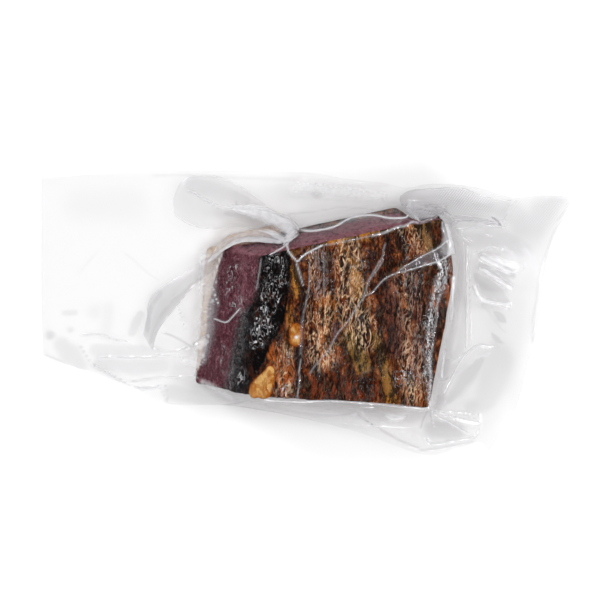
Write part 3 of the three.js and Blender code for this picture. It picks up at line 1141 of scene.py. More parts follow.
        left, along = Route(self.char_left).nearest(seen)
        left = left + wander
        right = Route(self.char_right).nearest(seen)[0] + 0.8 * wander
        foot = self.crust_foot + self.crust_foot_waver * lattice_noise(points, (26, 50, 50), 5)
        foot = foot + self.crust_foot_rise * smooth(*self.crust_foot_rise_x, x)
        far_cut = on_far * smooth(foot - 1.5, foot + 1.5, z) * smooth(0.75, 0.35, top)
        cut = np.maximum(smooth(0.6, -0.6, left), far_cut)
        char = smooth(-1.5, 1.5, left) * smooth(1.5, -1.5, right)
        low, high = self.frost_width
        frost = smooth(1.0, 0.0, -left / (low + (high - low) * along))
        frost = np.where(left < 0.5, frost, 0.0) * (1 - far_cut) * above_far

        rim = smooth(0.7, -0.7, Route(self.meat_left).nearest(seen)[0] + 0.4 * wander)
        gold = np.maximum(all_over(self.golden, seen, wander), 0.6 * rim)
        far_rim = on_far * smooth(foot, foot - 4, z)
        rim = np.maximum(rim, 0.8 * far_rim * smooth(-8.0, -16.0, x))
        nodule = all_over(self.nodules, seen, 0.5 * wander) * smooth(0.1, 0.35, top)
        gold = np.maximum(gold, far_rim * smooth(0.1, 0.7, lattice_noise(points, (15, 50, 50), 8)))
        far_lip = smooth(4.5 + 1.5 * wander, 1.5, far) * smooth(0.3, 0.6, top) * smooth(2.0, 12.0, x)
        on_crust = (1 - cut) * (1 - char)
        return {
            "cut": cut * (1 - 0.6 * smooth(2.0, 0.6, near)),
            "char": char * above_far,
            "frost": frost,
            "fat": np.maximum(rim, nodule),
            "pale": rim * (1 - all_over(self.gold_lines, seen, 0.3 * wander)),
            "gold": np.maximum(gold, 0.85 * far_lip),
            "amber": all_over(self.ambers, seen, wander),
            "olive": all_over(self.olives, seen, wander),
            "deep": np.maximum(all_over(self.deeps, seen, wander), 0.6 * far_rim),
            "dark": all_over(self.darks, seen, wander),
            "lilac": all_over(self.lilacs, seen, 0.4 * wander),
            "strand_glint_cover": (0.08 + 0.92 * all_over(self.strand_glint_patches, seen, wander)) * on_crust,
            "pink": np.maximum(all_over(self.pinks, seen, 0.3 * wander), 0.6 * far_cut),
        }

    def relief(self, points: Array, top: Array, patch: dict[str, Array]) -> tuple[Array, Array]:
        """How far the surface stands out from the smooth block.

        The crust has broad lumps, long fibrous ridges along Y and fine wrinkles. The charred strip is
        crumbly, the cut faces are nearly smooth, and the fat stands out in soft lobes.

        Args:
            points: Points of the smooth block.
            top: The top's weight at each.
            patch: The finishes from `patches`.

        Returns:
            Heights along the normals, and the crust's fibres alone, about -1 to 1.
        """
        bend = np.zeros_like(points)
        bend[:, 0] = 2.6 * lattice_noise(points, (16, 20, 30), 3)
        bend[:, 0] += 0.8 * lattice_noise(points, (6, 8, 9), 4)
        bent = points + bend
        lumps = fractal_noise(bent, (13, 26, 26), 21)
        fibres = 2 * ridge_noise(bent, (4.6, 20, 20), 22) - 1
        wrinkles = fractal_noise(bent, (2.0, 6, 6), 23, 2)
        crust = 0.9 * lumps + 0.6 * fibres + 0.5 * wrinkles
        crumbs = fractal_noise(points, (3.4, 4.2, 4.2), 24) * 1.1
        cut = 0.25 * fractal_noise(points, (3.0, 14, 12), 25)
        relief = crust * (0.35 + 0.65 * smooth(0.15, 0.6, top))
        relief += (crumbs + 0.3 - relief) * patch["char"]
        relief += (cut - 0.4 - relief) * patch["cut"]
        relief += self.fat_swell * patch["fat"] ** 2 * (1 - patch["pale"])
        return relief, 0.6 * fibres + 0.8 * wrinkles

    def foot_shift(self, points: Array) -> Array:
        """How far the far side's foot is moved along Y.

        It stands out by the ledge near its left end, at full reach below about a fifth of the height. At its
        right end it is tucked in, by an amount that grows evenly down from the top.

        Args:
            points: Points of the block.

        Returns:
            The move at each point.
        """
        low, full, still, high = self.ledge_x
        out = self.ledge * smooth(low, full, points[:, 0]) * smooth(high, still, points[:, 0])
        out *= smooth(20.0, 9.0, points[:, 2])
        back = self.tuck * smooth(*self.tuck_x, points[:, 0]) * np.clip(1 - points[:, 2] / self.height, 0, 1)
        return (out - back) * smooth(9.0, 3.0, self.depth(points, Side.FAR))

    def build(self) -> tuple[bpy.types.Object, Array]:
        """Makes the block.

        Returns:
            The dressed object and its points in plan.
        """
        points, out, top, faces = self.surface()
        patch = self.patches(points, top)
        above = smooth(self.underside, self.underside + 3.0, points[:, 2])
        relief, patch["raise"] = self.relief(points, top, patch)
        points = points + out * (relief * above)[:, None]
        points[:, 2] = np.maximum(points[:, 2], self.underside)
        points[:, 1] += self.foot_shift(points)
        piece = make_mesh("ham_block", self.plan.place(points), faces, NO_TRIANGLES)
        set_attributes(piece, patch)
        piece.data.materials.append(HamFinish().material())
        return piece, points


# ---------------------------------------------------------------------------
# The film
# ---------------------------------------------------------------------------


class Fold(Enum):
    """How a crease stands up across its path."""

    RIDGE = "a rounded ridge"
    CREST = "a sharp crest with hollow flanks"
    LAP = "a lap that drops at once on its left and runs out slowly on its right"


@dataclass(frozen=True)
class Crease:
    """A crease in the film.

    Its half width and height are one number each, or one for either end of the path. The haze is how grey it
    looks, partly painted shade, and the gleam how white, a painted highlight.
    """

    path: Path
    width: float | Point
    height: float | Point
    haze: float = 0.0
    gleam: float = 0.0
    fold: Fold = Fold.RIDGE

    def across(self, offset: Array) -> Array:
        """The fold's section.

        A ridge is a smooth step on either side, a crest falls by the square of what is left of the half
        width, and a lap by its power of 1.5 on the right alone.

        Args:
            offset: How far off the path, -1 to 1 of the half width, positive on the left.

        Returns:
            The share of the crease's height.
        """
        far = np.abs(offset)
        if self.fold is Fold.RIDGE:
            return smooth(1.0, 0.0, far)
        if self.fold is Fold.CREST:
            return np.clip(1 - far, 0, 1) ** 2
        return np.where(offset > 0, smooth(0.35, 0.0, offset), np.clip(1 - far, 0, 1) ** 1.5)

    def over(self, seen: Array) -> tuple[Array, Array]:
        """How far the crease raises the film, and how strongly it shows.

        Args:
            seen: Where the camera sees the film's points, one row each.

        Returns:
            The height and the strength, 0 to 1, at each point.
        """
        route = Route(self.path, 5)
        reach = np.max(self.width)
        low, high = route.line.min(axis=0) - reach, route.line.max(axis=0) + reach
        close = np.all((seen > low) & (seen < high), axis=1)
        distance, share = route.nearest(seen[close])
        width, size = spread(self.width, share), spread(self.height, share)
        strength = self.across(distance / width)
        fade, start = 0.06, 0.02
        strength *= smooth(0.0, fade, share + start) * smooth(1.0, 1 - fade, share - start)
        raised, shown = np.zeros(len(seen)), np.zeros(len(seen))
        raised[close], shown[close] = strength * size, strength
        return raised, shown


@dataclass(frozen=True)
class Marks:
    """Where film isn't clear: grey veils, partly the grey of several layers and partly painted shade and
    reflection, and white gleams, painted highlights along creases and folds.
    """

    veils: tuple[Patch, ...] = ()
    gleams: tuple[Patch, ...] = ()

    def over(self, seen: Array) -> tuple[Array, Array]:
        """Works out how strong both are, with slightly ragged edges.

        Args:
            seen: Where the camera sees the film's points, one row each.

        Returns:
            The shares of grey and of white at each point.
        """
        wander = 0.7 * fractal_noise(seen, (3.5, 3.5), 61)
        none = np.zeros(len(seen))
        veil = all_over(self.veils, seen, wander) if self.veils else none
        gleam = all_over(self.gleams, seen, wander) if self.gleams else none.copy()
        return veil, gleam


@dataclass(frozen=True)
class FilmFinish:
    """Clear vacuum film: nearly all light passes, and more is mirrored at a slant. Where it is creased or
    layered, a stored grey share, partly painted shade, and a stored white share, a painted highlight, are
    added.

    The film that clings to the ham is finely crinkled as well, mirrors less at a slant, and has painted
    glints along thin squiggles and lacy lines.
    """

    name: str
    clings: bool = False
    grey: Colour = (138, 132, 140)
    white: Colour = (250, 250, 252)
    base_share: float = 0.03
    cling_share: float = 0.012
    slant_share: float = 0.5
    cling_slant_share: float = 0.25
    crinkle_height: float = 0.35
    squiggle_height: float = 0.5
    squiggle_painted_glint: float = 0.75
    lace_painted_glint: float = 0.45
    roughness: float = 0.08
    rib_pitch: float = 1.1
    rib_turn: float = 38.0
    rib_share: float = 0.1

    def crinkles(self, t: Tree) -> tuple[Socket, Socket]:
        """The crinkles of clinging film: low waves all over and clusters of thin sharp squiggles.

        Args:
            t: The material's tree.

        Returns:
            Their bumped normal and how strongly the squiggles show, 0 to 1.
        """
        cling = t.value("crinkle")
        sway = t.swayed((9, 9, 9), (2.0, 1.0, 1.0))
        squiggle = t.ridges(t.streaks((2.0, 4.4, 4.4), 1, warp=1.3, shift=1.7, place=sway), 0.045)
        crinkle = t.streaks((2.6, 5.5, 5.5), 2, warp=1.0, shift=4.0, place=sway)
        cluster = t.scaled(cling, 0.08, t.streaks((8, 14, 14), 2, warp=0.6, shift=2.2))
        squiggle = t.times(squiggle, t.span(cluster, 0.5, 0.68), cling, cling)
        height = t.times(crinkle, cling, self.crinkle_height)
        return t.bump(t.scaled(squiggle, self.squiggle_height, height), 1.6, 1.0), squiggle

    def ribs(self, t: Tree, below: Socket | None) -> tuple[Socket, Socket]:
        """The slow waves of loose film and the fine embossed ribs.

        Args:
            t: The material's tree.
            below: A bumped normal to add them to.

        Returns:
            Their bumped normal and how strongly the ribs show, 0 to 1.
        """
        normal = t.bump(t.streaks((12, 12, 12), 2, warp=0.8, shift=8.0), 1.4, 0.5, below)
        place = t.add("TexCoord", output="Object")
        turned = t.add("Mapping", {"Vector": place, "Rotation": (0, 0, math.radians(self.rib_turn))})
        waves_each_metre = math.tau / (20 * self.rib_pitch * MM)
        inputs = {"Vector": turned, "Scale": waves_each_metre, "Distortion": 0.4}
        ribs = t.times(t.add("TexWave", inputs, bands_direction="X"), t.value("emboss"))
        return t.bump(ribs, 0.25, 0.7, normal), ribs

    def material(self) -> bpy.types.Material:
        """Builds the material.

        A mix of see-through film and glossy film. The glossy share is a small base, plus a part that grows
        with the cube of the slant of the bumped surface, plus two shares stored on the mesh: a grey haze,
        where layers of film mirror the room and which is partly painted shade, and a white gleam along sharp
        creases, a painted highlight. On clinging film, painted glints along squiggles and lacy lines add to
        the gleam.

        Returns:
            The material.
        """
        t = Tree(bpy.data.materials.new(self.name))
        broken = t.span(t.streaks((2.6, 2.6, 2.6), 2, shift=3.3), 0.3, 0.65, 0.82, 1.05)
        gleam = t.times(t.value("gleam"), broken)
        normal, share, slant_share = None, self.base_share, self.slant_share
        if self.clings:
            normal, squiggle = self.crinkles(t)
            share, slant_share = self.cling_share, self.cling_slant_share
            # Painted glints: white shares along the crinkles' squiggles and the lacy lines.
            gleam = t.scaled(squiggle, self.squiggle_painted_glint, gleam)
            lacy = t.ridges(t.streaks((1.7, 3.4, 3.4), 2, warp=1.2, shift=7.3), 0.075)
            gleam = t.scaled(t.times(lacy, t.value("lacy")), self.lace_painted_glint, gleam)
        normal, ribs = self.ribs(t, normal)
        facing = t.add("LayerWeight", {"Blend": 0.5, "Normal": normal}, output="Facing")
        share = t.scaled(t.math("POWER", facing, 3.0), slant_share, share)
        share = t.math("ADD", share, t.value("haze"))
        share = t.math("ADD", t.scaled(ribs, self.rib_share, share), gleam, clamp=True)
        # The whiteness is the painted highlight's part of the glossy share.
        whiteness = t.math("DIVIDE", gleam, share, clamp=True)
        look = {
            "Base Color": t.blend(whiteness, self.grey, self.white),
            "Metallic": t.scaled(whiteness, -0.5, 0.55),
            "Roughness": self.roughness,
            "Normal": normal,
        }
        glossy = t.add("BsdfPrincipled", look)
        return t.finish(t.add("MixShader", {0: share, 1: t.add("BsdfTransparent"), 2: glossy}))


@dataclass(frozen=True)
class Margin:
    """How high the film's margin stands: low at the open end and raised round the block."""

    climb: Point = (1.1, 9.2)
    climb_x: Point = (-122.0, -30.0)
    near_lift: float = 3.2
    near_x: Point = (-70.0, 20.0)
    near_y: Point = (-20.0, -66.0)
    wave: float = 0.9
    wave_length: float = 47.0
    wave_slant: float = 0.4
    wave_x: Point = (60.0, 115.0)

    def height(self, x: Array, y: Array) -> Array:
        """The height of the margin's middle: a climb along X, a lift along the near side and slow waves.

        Args:
            x: Places along X.
            y: Places along Y.

        Returns:
            Heights of the same shape.
        """
        climbed = smooth(*self.climb_x, x)
        lifted = smooth(*self.near_y, y) * smooth(*self.near_x, x)
        wave = np.sin(2 * np.pi * (y + self.wave_slant * x) / self.wave_length)
        base = self.climb[0] + (self.climb[1] - self.climb[0]) * climbed
        return base + self.near_lift * lifted + self.wave * wave * smooth(*self.wave_x, x)


@dataclass
class BagFilm:
    """The bag: one closed sheet of film, tight on the ham and welded into a flat margin round it."""

    plan: Plan
    ham: Array
    margin: Margin = field(default_factory=Margin)
    thickness: float = 0.5
    clearance: float = 0.35
    passes: int = 900
    columns: tuple[int, int, int] = (100, 136, 84)
    rows: tuple[int, int, int] = (38, 130, 52)
    bridge: float = 12.5
    bridge_left: float = 17.0
    bridge_right: float = 9.5
    bridge_under: float = 9.0
    block_floor: float = 20.0
    free_lines: int = 3
    steep: Point = (4.5, 2.0)
    loose_x: Point = (-110.0, -60.0)
    loose_swell: float = 0.5
    emboss: float = 0.4
    emboss_x: Point = (86.0, 96.0)
    emboss_slant: float = 0.3
    # Each crease's haze is partly painted shade and its gleam a painted highlight.
    creases: tuple[Crease, ...] = (
        # The knot of film at the far left corner of the block
        Crease(((-20, 29), (-13, 33), (-11, 35), (-5.5, 39.5)), 0.8, (1, 1.6), 0.3, 0.6),
        Crease(((-13, 33.5), (-11.5, 37.5), (-9, 38.5), (-6, 41)), 0.9, (1.2, 1.6), 0.2, 0.6),
        Crease(((-11, 35), (-10.5, 31), (-6, 25.5)), 0.8, (1.4, 1.2), 0.3, 0.75),
        Crease(((-6, 25.5), (-2, 29.5), (7, 34)), 0.8, (1.2, 0.8), 0.3, 0.7),
        Crease(((7, 34), (11.5, 34.5), (30.5, 38.5)), 0.9, (0.7, 0.6), 0.1, 0.25),
        Crease(((30.5, 38.5), (37, 40), (44, 43), (47.5, 43.5), (51.5, 45.5), (55, 45)),
               1.1, (0.7, 0.9), 0.3, 0.5),
        Crease(((55, 45), (60, 46.5), (66.5, 50)), 0.8, 0.6, 0.1, 0.3),
        Crease(((-6.5, 25), (-3, 13.5)), (1.4, 0.8), (1.2, 0.4), 0.3, 0.55, Fold.CREST),
        # Lines across the top of the block
        Crease(((0, 25.5), (-0.5, 11.5), (-3, -0.5)), 0.7, (0.7, 0.6), 0.18, 0.26),
        Crease(((-3, -0.5), (-4, -8.5), (-4, -16), (-4.5, -21)), 1.1, (0.8, 0.6), 0.25, 0.12),
        Crease(((-4.5, -22.5), (-5, -28.5), (-5, -36), (-6, -41), (-5, -44)), 0.6, (0.6, 0.5), 0.1, 0.35),
        Crease(((6.5, 31.5), (7.5, 19), (7, 7.5)), 0.7, (0.6, 0.5), 0.12, 0.18),
        Crease(((38, 35), (37, 31.5), (36.5, 28), (31, 19), (29, 14.5), (26.5, 6)), 0.8, 0.7, 0.2, 0.24),
        Crease(((37, 27.5), (35.5, 24), (30, 16.5)), 0.6, 0.4, 0.1, 0.24),
        Crease(((65.5, 25.5), (60, 24.5), (50, 21.5), (45, 20.5), (37.5, 17), (31.5, 10.5), (28.5, 9)),
               0.85, (1, 0.8), 0.25, 0.55, Fold.CREST),
        Crease(((28.5, 9), (26.5, 7), (18.5, -5), (14.5, -9.5), (12, -14)),
               0.8, (0.8, 0.7), 0.2, 0.45, Fold.CREST),
        Crease(((12, -14), (9.5, -18.5), (3, -26), (0, -30.5)), 0.9, (0.8, 0.6), 0.12, 0.22),
        Crease(((68.5, 36.5), (62, 31), (52.5, 26), (44.5, 21)), 0.8, (0.9, 0.6), 0.2, 0.4),
        Crease(((61, 32), (62.5, 29.5), (64, 25.5), (66, 22.5)), 0.8, (1, 0.8), 0.3, 0.6),
        Crease(((66.5, 46), (67, 40.5), (71, 29.5)), 0.9, 0.9, 0.2, 0.6),
        Crease(((74, 46), (71, 44), (70, 40.5), (72, 33), (72.5, 29.5)), 1, (1.4, 1), 0.25, 0.75),
        Crease(((73, 31), (65, 26)), 0.9, 0.9, 0.3, 0.6),
        Crease(((65.5, 25.5), (66, 20.5), (62, 8.5), (60.5, 1.5), (59, -18.5)), 0.8, (1, 0.7), 0.15, 0.3),
        Crease(((68.5, 23.5), (68, 16.5), (64, 5), (63.5, -2.5), (62, -11), (61.5, -19.5)),
               0.8, (1, 0.7), 0.15, 0.28),
        Crease(((60, -18.5), (60.5, -33.5), (60, -41), (60, -48)), 1.2, (0.9, 0.7), 0.2, 0.35),
        Crease(((72, 18.5), (71.5, 1.5), (70.5, -4.5)), 1.5, 0.9, 0.2, 1),
        Crease(((70, -4.5), (67.5, -16.5)), 0.8, 0.6, 0.1, 0.3),
        Crease(((67.5, -18), (66, -32.5)), 1.4, 0.8, 0.2, 1),
        Crease(((-23.5, -43.5), (-4.5, -44.5), (10.5, -44), (45, -46.5), (57.5, -48)), 0.8, 0.5, 0.2, 0.9),
        Crease(((-48, -2.5), (-42.5, -4.5), (-40, -3.5), (-34.5, 2.5)),
               0.9, (0.9, 0.7), 0.3, 0.9, Fold.CREST),
        Crease(((-24, 27.5), (-26.5, 11.5)), 0.8, (0.6, 0.5), 0.1, 0.22),
        # The spare film at the left foot of the block
        Crease(((-53, 13.5), (-50.5, 14), (-48, 12), (-47, 8.5), (-45, 3.5)),
               (1, 0.8), (1.4, 0.8), 0.3, 0.85, Fold.CREST),
        Crease(((-48, 7), (-52, 1.5), (-53.5, -2), (-54, -6)), 1, 1.2, 0.2, 0.8, Fold.CREST),
        Crease(((-52.5, -7.5), (-48, 7)), 0.9, (1, 1.2), 0.2, 0.7, Fold.CREST),
        Crease(((-50, -10.5), (-53, -12), (-58.5, -16)), 1, 1.4, 0.3, 0.9, Fold.CREST),
        Crease(((-50, -10.5), (-51.5, -14.5), (-53.5, -23)), 1, 1.4, 0.3, 0.9, Fold.CREST),
        Crease(((-58.5, -16), (-53.5, -23)), 0.9, 1.2, 0.2, 0.7, Fold.CREST),
        Crease(((-51.5, -22.5), (-55, -26.5), (-57, -30.5), (-55.5, -33)),
               0.9, (0.9, 0.8), 0.25, 0.7, Fold.CREST),
        Crease(((-44, 30.5), (-44.5, 27.5), (-47, 20.5), (-47, 14.5)), 1, 0.8, 0.15, 0.75),
        Crease(((-66.5, 4), (-63.5, -2.5), (-62, -8.5)), 1, 0.9, 0.05, 0.5, Fold.CREST),
        Crease(((-73.5, -9.5), (-67, -12), (-58.5, -17)), 1, 0.9, 0.22),
        Crease(((-78.5, -18), (-67, -19), (-59.5, -16.5)), 1.2, 1.2, 0.12, 0.4, Fold.CREST),
        # The open, left end
        Crease(((-113.5, -11), (-104.5, -10.5), (-97, -13), (-90.5, -14)), 1.4, 1, 0.1, 0.4, Fold.CREST),
        Crease(((-114.5, -16), (-109, -25)), 1.3, 1.2, 0.16, 0, Fold.LAP),
        Crease(((-109, -25), (-105.5, -26.5), (-94.5, -33), (-89, -36.5), (-78.5, -37), (-74.5, -36)),
               1.8, (1.6, 1.2), 0.16, 0.6, Fold.LAP),
        Crease(((-107, -22), (-79.5, -22), (-74.5, -21), (-59.5, -22.5)), 1.2, 0.8, 0.1, 0.5, Fold.CREST),
        Crease(((-89.5, -34), (-74.5, -32), (-64.5, -32), (-57, -31.5)),
               1.2, (0.8, 0.6), 0.1, 0.4, Fold.CREST),
        Crease(((-72, -35.5), (-71, -39.5), (-71, -45)), 0.9, 0.8, 0.18),
        Crease(((-75, -36), (-71.5, -44.5)), 0.8, 0.7, 0.12),
        Crease(((-71, -45.5), (-59.5, -47.5), (-52, -47.5), (-31.5, -44)), 0.9, 0.7, 0.24),
        Crease(((-132, -21), (-121, -25.5)), 1, 0.5, 0.12),
        Crease(((-115.5, 19), (-108.5, 28), (-104.5, 31)), 1, 0.3, 0.06, 0, Fold.CREST),
        Crease(((-93.5, 30.5), (-89.5, 28), (-79.5, 19), (-74.5, 16.5)), 1, 0.3, 0.06, 0, Fold.CREST),
        Crease(((-79.5, 68.5), (-64.5, 69), (-49.5, 68), (-4.5, 66.5)), 1.6, 0.4, 0.07),
        Crease(((1.5, 64.5), (20.5, 63.5), (40, 63.5)), 1.4, 0.4, 0.06),
        # The near side
        Crease(((-30.5, -44), (-23.5, -45.5), (-17, -47.5), (10.5, -51), (23.5, -49)), 1, 0.8, 0.2),
        Crease(((23, -49), (30.5, -55), (45, -63.5), (55, -67.5)), 1, 0.9, 0.24),
        # The near right corner's fan
        Crease(((60.5, -48.5), (77.5, -49.5), (82.5, -51)), 1, (1.6, 0.6), 0.08, 0.7, Fold.CREST),
        Crease(((60.5, -49), (67.5, -50.5), (74, -52.5), (85, -54.5)),
               (1.2, 1.8), (2, 0.8), 0.08, 0.7, Fold.CREST),
        Crease(((60.5, -49.5), (65, -52.5), (68.5, -54), (80, -60.5), (82.5, -62.5)),
               1.2, (2.2, 0.9), 0.08, 0.9, Fold.CREST),
        Crease(((84.5, -49.5), (85, -53.5), (84.5, -58.5), (82.5, -62.5)), 1, 0.8, 0.1, 0.6, Fold.CREST),
        Crease(((58, -62), (60, -64.5), (63.5, -65), (76.5, -63), (82.5, -62.5)),
               1.1, 1.2, 0.12, 0.9, Fold.CREST),
        Crease(((60, -49), (62, -58.5)), 1, (1.2, 0.5), 0.28, 0, Fold.CREST),
        Crease(((59, -49), (57, -52.5), (55.5, -57.5)), 1, (1.2, 0.5), 0.25, 0, Fold.CREST),
        Crease(((55, -68), (60, -68), (82.5, -64)), 1, 0.6, 0.18),
        Crease(((67, -40.5), (75, -24.5), (81, -18), (85, -16), (92.5, -17)),
               1.2, (1.6, 1.4), 0.1, 0.95, Fold.CREST),
        Crease(((67.5, -23.5), (72.5, -23), (84, -16)), 1, 1, 0.1, 0.5, Fold.CREST),
        Crease(((64, -34), (70, -32), (80, -25), (85, -22.5), (90, -19.5)), 0.9, 0.8, 0.1, 0.3, Fold.CREST),
        # The right margin
        Crease(((78.5, 33.5), (78.5, -3.5), (78, -18.5)), 1, 1.2, 0.05, 0.7),
        Crease(((82.5, 31.5), (80.5, 25.5), (80, 16.5), (80.5, -16)), 0.8, 0.9, 0.08, 0.4, Fold.CREST),
        Crease(((82.5, 31.5), (85, 30.5), (89, 32.5), (92.5, 33), (97.5, 31.5)),
               1, 0.9, 0.1, 0.8, Fold.CREST),
        Crease(((85, 28.5), (90, 25.5), (101.5, 20)), 2.2, (1.2, 0.8), 0, 0.8),
        Crease(((84, 22.5), (89.5, 20), (101.5, 11.5)), 2.2, (1.4, 0.9), 0, 0.8),
        Crease(((82, 14.5), (85, 7.5), (92.5, 5), (101, 4)), 2.2, (1.4, 0.9), 0, 0.8),
        Crease(((85.5, 2.5), (87, 5), (89.5, 6), (92.5, 5.5), (100.5, 1.5)), 1, 0.7, 0.12, 0, Fold.CREST),
        Crease(((85.5, 2.5), (88.5, 2), (93.5, -5), (98.5, -10)), 1, 0.7, 0.12, 0, Fold.CREST),
        Crease(((91, -17), (95.5, -17.5)), 1, 0.5, 0.2, 0, Fold.CREST),
        Crease(((131, 56.5), (128.5, 53.5), (123.5, 44.5), (119.5, 34), (115, 16.5), (112, -3.5),
                (111.5, -16)), 1, 0.4, 0.1, 0.2),
        Crease(((96.5, 45.5), (100, 52.5), (103, 56)), 1.2, 0.5, 0.1, 0.3, Fold.CREST),
        Crease(((72.5, 46), (80, 46.5), (92.5, 45), (96, 43.5)), 1, (1, 0.6), 0.2, 0.8, Fold.CREST),
        Crease(((72.5, 42.5), (77.5, 42), (85, 43.5), (92.5, 44.5)), 1, (1, 0.6), 0.2, 0.8, Fold.CREST),
        Crease(((73.5, 41.5), (76.5, 38.5), (81, 35.5)), 1, (1, 0.6), 0.25, 0.4, Fold.CREST),
        # The far side
        Crease(((-5, 42), (0.5, 41), (12, 43), (20.5, 47.5), (30.5, 49), (40, 47.5), (45, 47.5),
                (48.5, 48), (49.5, 50.5)), 0.9, 0.9, 0.3, 0.85),
        Crease(((-11.5, 49.5), (0.5, 50.5), (10.5, 52), (15.5, 53), (28, 52), (35.5, 51)), 0.8, 0.4, 0.15),
        Crease(((64.5, 53), (68.5, 49.5), (71.5, 48)), 1, 0.9, 0.2, 0.9, Fold.CREST),
        Crease(((68, 53.5), (68, 50.5), (67, 47.5)), 0.9, 0.8, 0.2, 0.7, Fold.CREST),
    )
    marks: Marks = Marks(
        # Grey veils: partly the grey of layered film, partly painted shade and reflection.
        veils=(
            Patch(((76, 34), (76, 6.5), (75.5, -15.5), (72, -22)), (3, 3.5, 3.5, 2.5), 0.06, 0.45),
            Patch(((86, 29.5), (93.5, 28.5)), 2.5, 0.16, 0.4),
            Patch(((85.5, 24), (88.5, 23)), 2.5, 0.16, 0.4),
            Patch(((94.5, 22), (98, 21), (102, 18.5)), (1.5, 3, 1.5), 0.18, 0.4),
            Patch(((90, 20.5), (102.5, 13)), (1, 3, 1), 0.18, 0.4),
            Patch(((83.5, 18.5), (87, 14.5), (95, 8), (99, 6)), (2, 5.5, 6, 4.5, 1.5), 0.13, 0.6),
            Patch(((92.5, 0.5), (98, -4.5)), (1, 3, 1), 0.16, 0.4),
            Patch(((91, -10), (94, -13.5), (96.5, -15)), (1, 2.5, 1), 0.16, 0.4),
            Patch(((86, -23.5), (69.5, -44)), (3, 6.5, 5, 2.5), 0.18, 0.2),
            Patch(((70.5, -26.5), (68, -32.5)), (4.5, 3.5), 0.12, 0.2),
            Patch(((66.5, -43.5), (64, -47.5)), (5, 2.5), 0.2, 0.2),
            Patch(((94, -23.5), (88, -43.5), (81, -47.5)), (13, 11, 5), 0.1, 0.3),
            Patch(((62, -57.5), (74, -59.5)), (7.5, 6), 0.2, 0.3),
            Patch(((-9.5, 46.5), (10.5, 51.5), (45, 54)), (6, 7, 6), 0.05, 0.3),
            Patch(((-114.5, 54), (-89.5, 54)), (13, 15), 0.03, 0.2),
            Patch(((50, 66.5), (80, 67.5), (115, 61.5)), (5, 6, 6), 0.06, 0.2),
            Patch(((101, 50.5), (110, 42.5), (117.5, 50.5), (125, 56.5)), (9, 13, 12, 7), 0.11, 0.2),
            Patch(((79, 36.5), (95, 37.5), (106, 32.5)), (6, 8, 8), 0.14, 0.2),
            Patch(((-123.5, -16), (-114.5, -25.5)), (6, 8, 5), 0.08, 0.3),
            Patch(((-107, -18.5), (-92, -19), (-77, -18.5)), (4.5, 4.5, 3.5), 0.07, 0.4),
            Patch(((-105.5, -25.5), (-89.5, -27), (-73.5, -26.5)), (4, 5.5, 5.5), 0.09, 0.3),
            Patch(((-88.5, -10), (-84.5, -0.5)), (2.5, 3.5, 2.5), 0.12, 0.4),
            Patch(((-129.5, -11),), 3.5, 0.13, 0.3),
            Patch(((-122.5, 0), (-117, 0.5)), 2, 0.07, 0.3),
            Patch(((-119.5, -8.5),), 2.5, 0.08, 0.3),
            Patch(((-107, 0.5),), 6.5, 0.04, 0.2),
            Patch(((-100.5, 2.5), (-101, -6.5)), 5, 0.04, 0.2),
            Patch(((-68.5, -39.5), (-54.5, -42.5), (-37, -43.5)), (6.5, 5.5, 2.5), 0.12, 0.3),
            Patch(((-66.5, -29.5), (-55.5, -39.5)), (6, 4), 0.08, 0.2),
            Patch(((-36.5, 55), (-35.5, 51)), 1, 0.2, 0.3),
            Patch(((2, 60), (4, 59)), 2.5, 0.12, 0.3),
        ),
        # White gleams: painted highlights on creases, folds and the film's edges.
        gleams=(
            Patch(((20.5, -47), (26, -48.5), (32, -47)), (0.5, 2.5, 0.5), 0.8, 0.4),
            Patch(((39, -50.5), (43.5, -52), (49, -50.5)), (1.5, 3, 1.5), 0.7, 0.3),
            Patch(((62, 28.5), (56, 26.5), (50, 23.5)), (4.5, 3.5, 1.5), 0.12, 0.4),
            Patch(((69, 42.5), (69, 36.5), (68, 31.5)), (3.5, 3.5, 4.5), 0.36, 0.4),
            Patch(((-51, 6.5), (-55, -21.5)), (7, 8, 6), 0.36, 0.1),
            Patch(((-51, 26.5), (-51.5, 12)), 7, 0.45, 0.2),
            Patch(((-47, 27), (-43.7, 34), (-34.7, 38.5), (-23.7, 40.5), (-17.2, 38.5)), 3.5, 0.4, 0.2),
            Patch(((86, 27.5), (105, 23)), 3, 0.45, 0.2),
            Patch(((-6, 63), (15, 61), (36, 58.5)), (7, 6, 4), 0.35, 0.1),
            Patch(((-14.5, -46), (10.5, -50), (33, -56), (54, -63)), (3, 5, 6, 5), 0.25, 0.1),
            Patch(((-52.5, -14), (-55, -17)), (3, 2), 0.7, 0.3),
            Patch(((-62.5, -23.5), (-56.5, -25.5)), (3, 2.5), 0.5, 0.2),
            Patch(((-53, -34.5), (-39.5, -42)), (2.5, 3, 2), 0.35, 0.2),
            Patch(((-2, 41.5), (8, 42), (16.5, 44), (25.5, 47.5), (45, 46.5)),
                  (1.5, 3, 4, 4, 4, 2), 0.24, 0.1),
            Patch(((74, -52.5), (82, -54.5)), (3, 4), 0.5, 0.2),
            Patch(((97, 44.5),), 3, 0.3, 0.3),
            # A painted highlight on the fat nodule beneath.
            Patch(((-6.5, -12),), 1.2, 0.8, 0.2),
            Patch(((73.5, 35), (73.5, 27.5)), 1.5, 0.4, 0.3),
        ),
    )
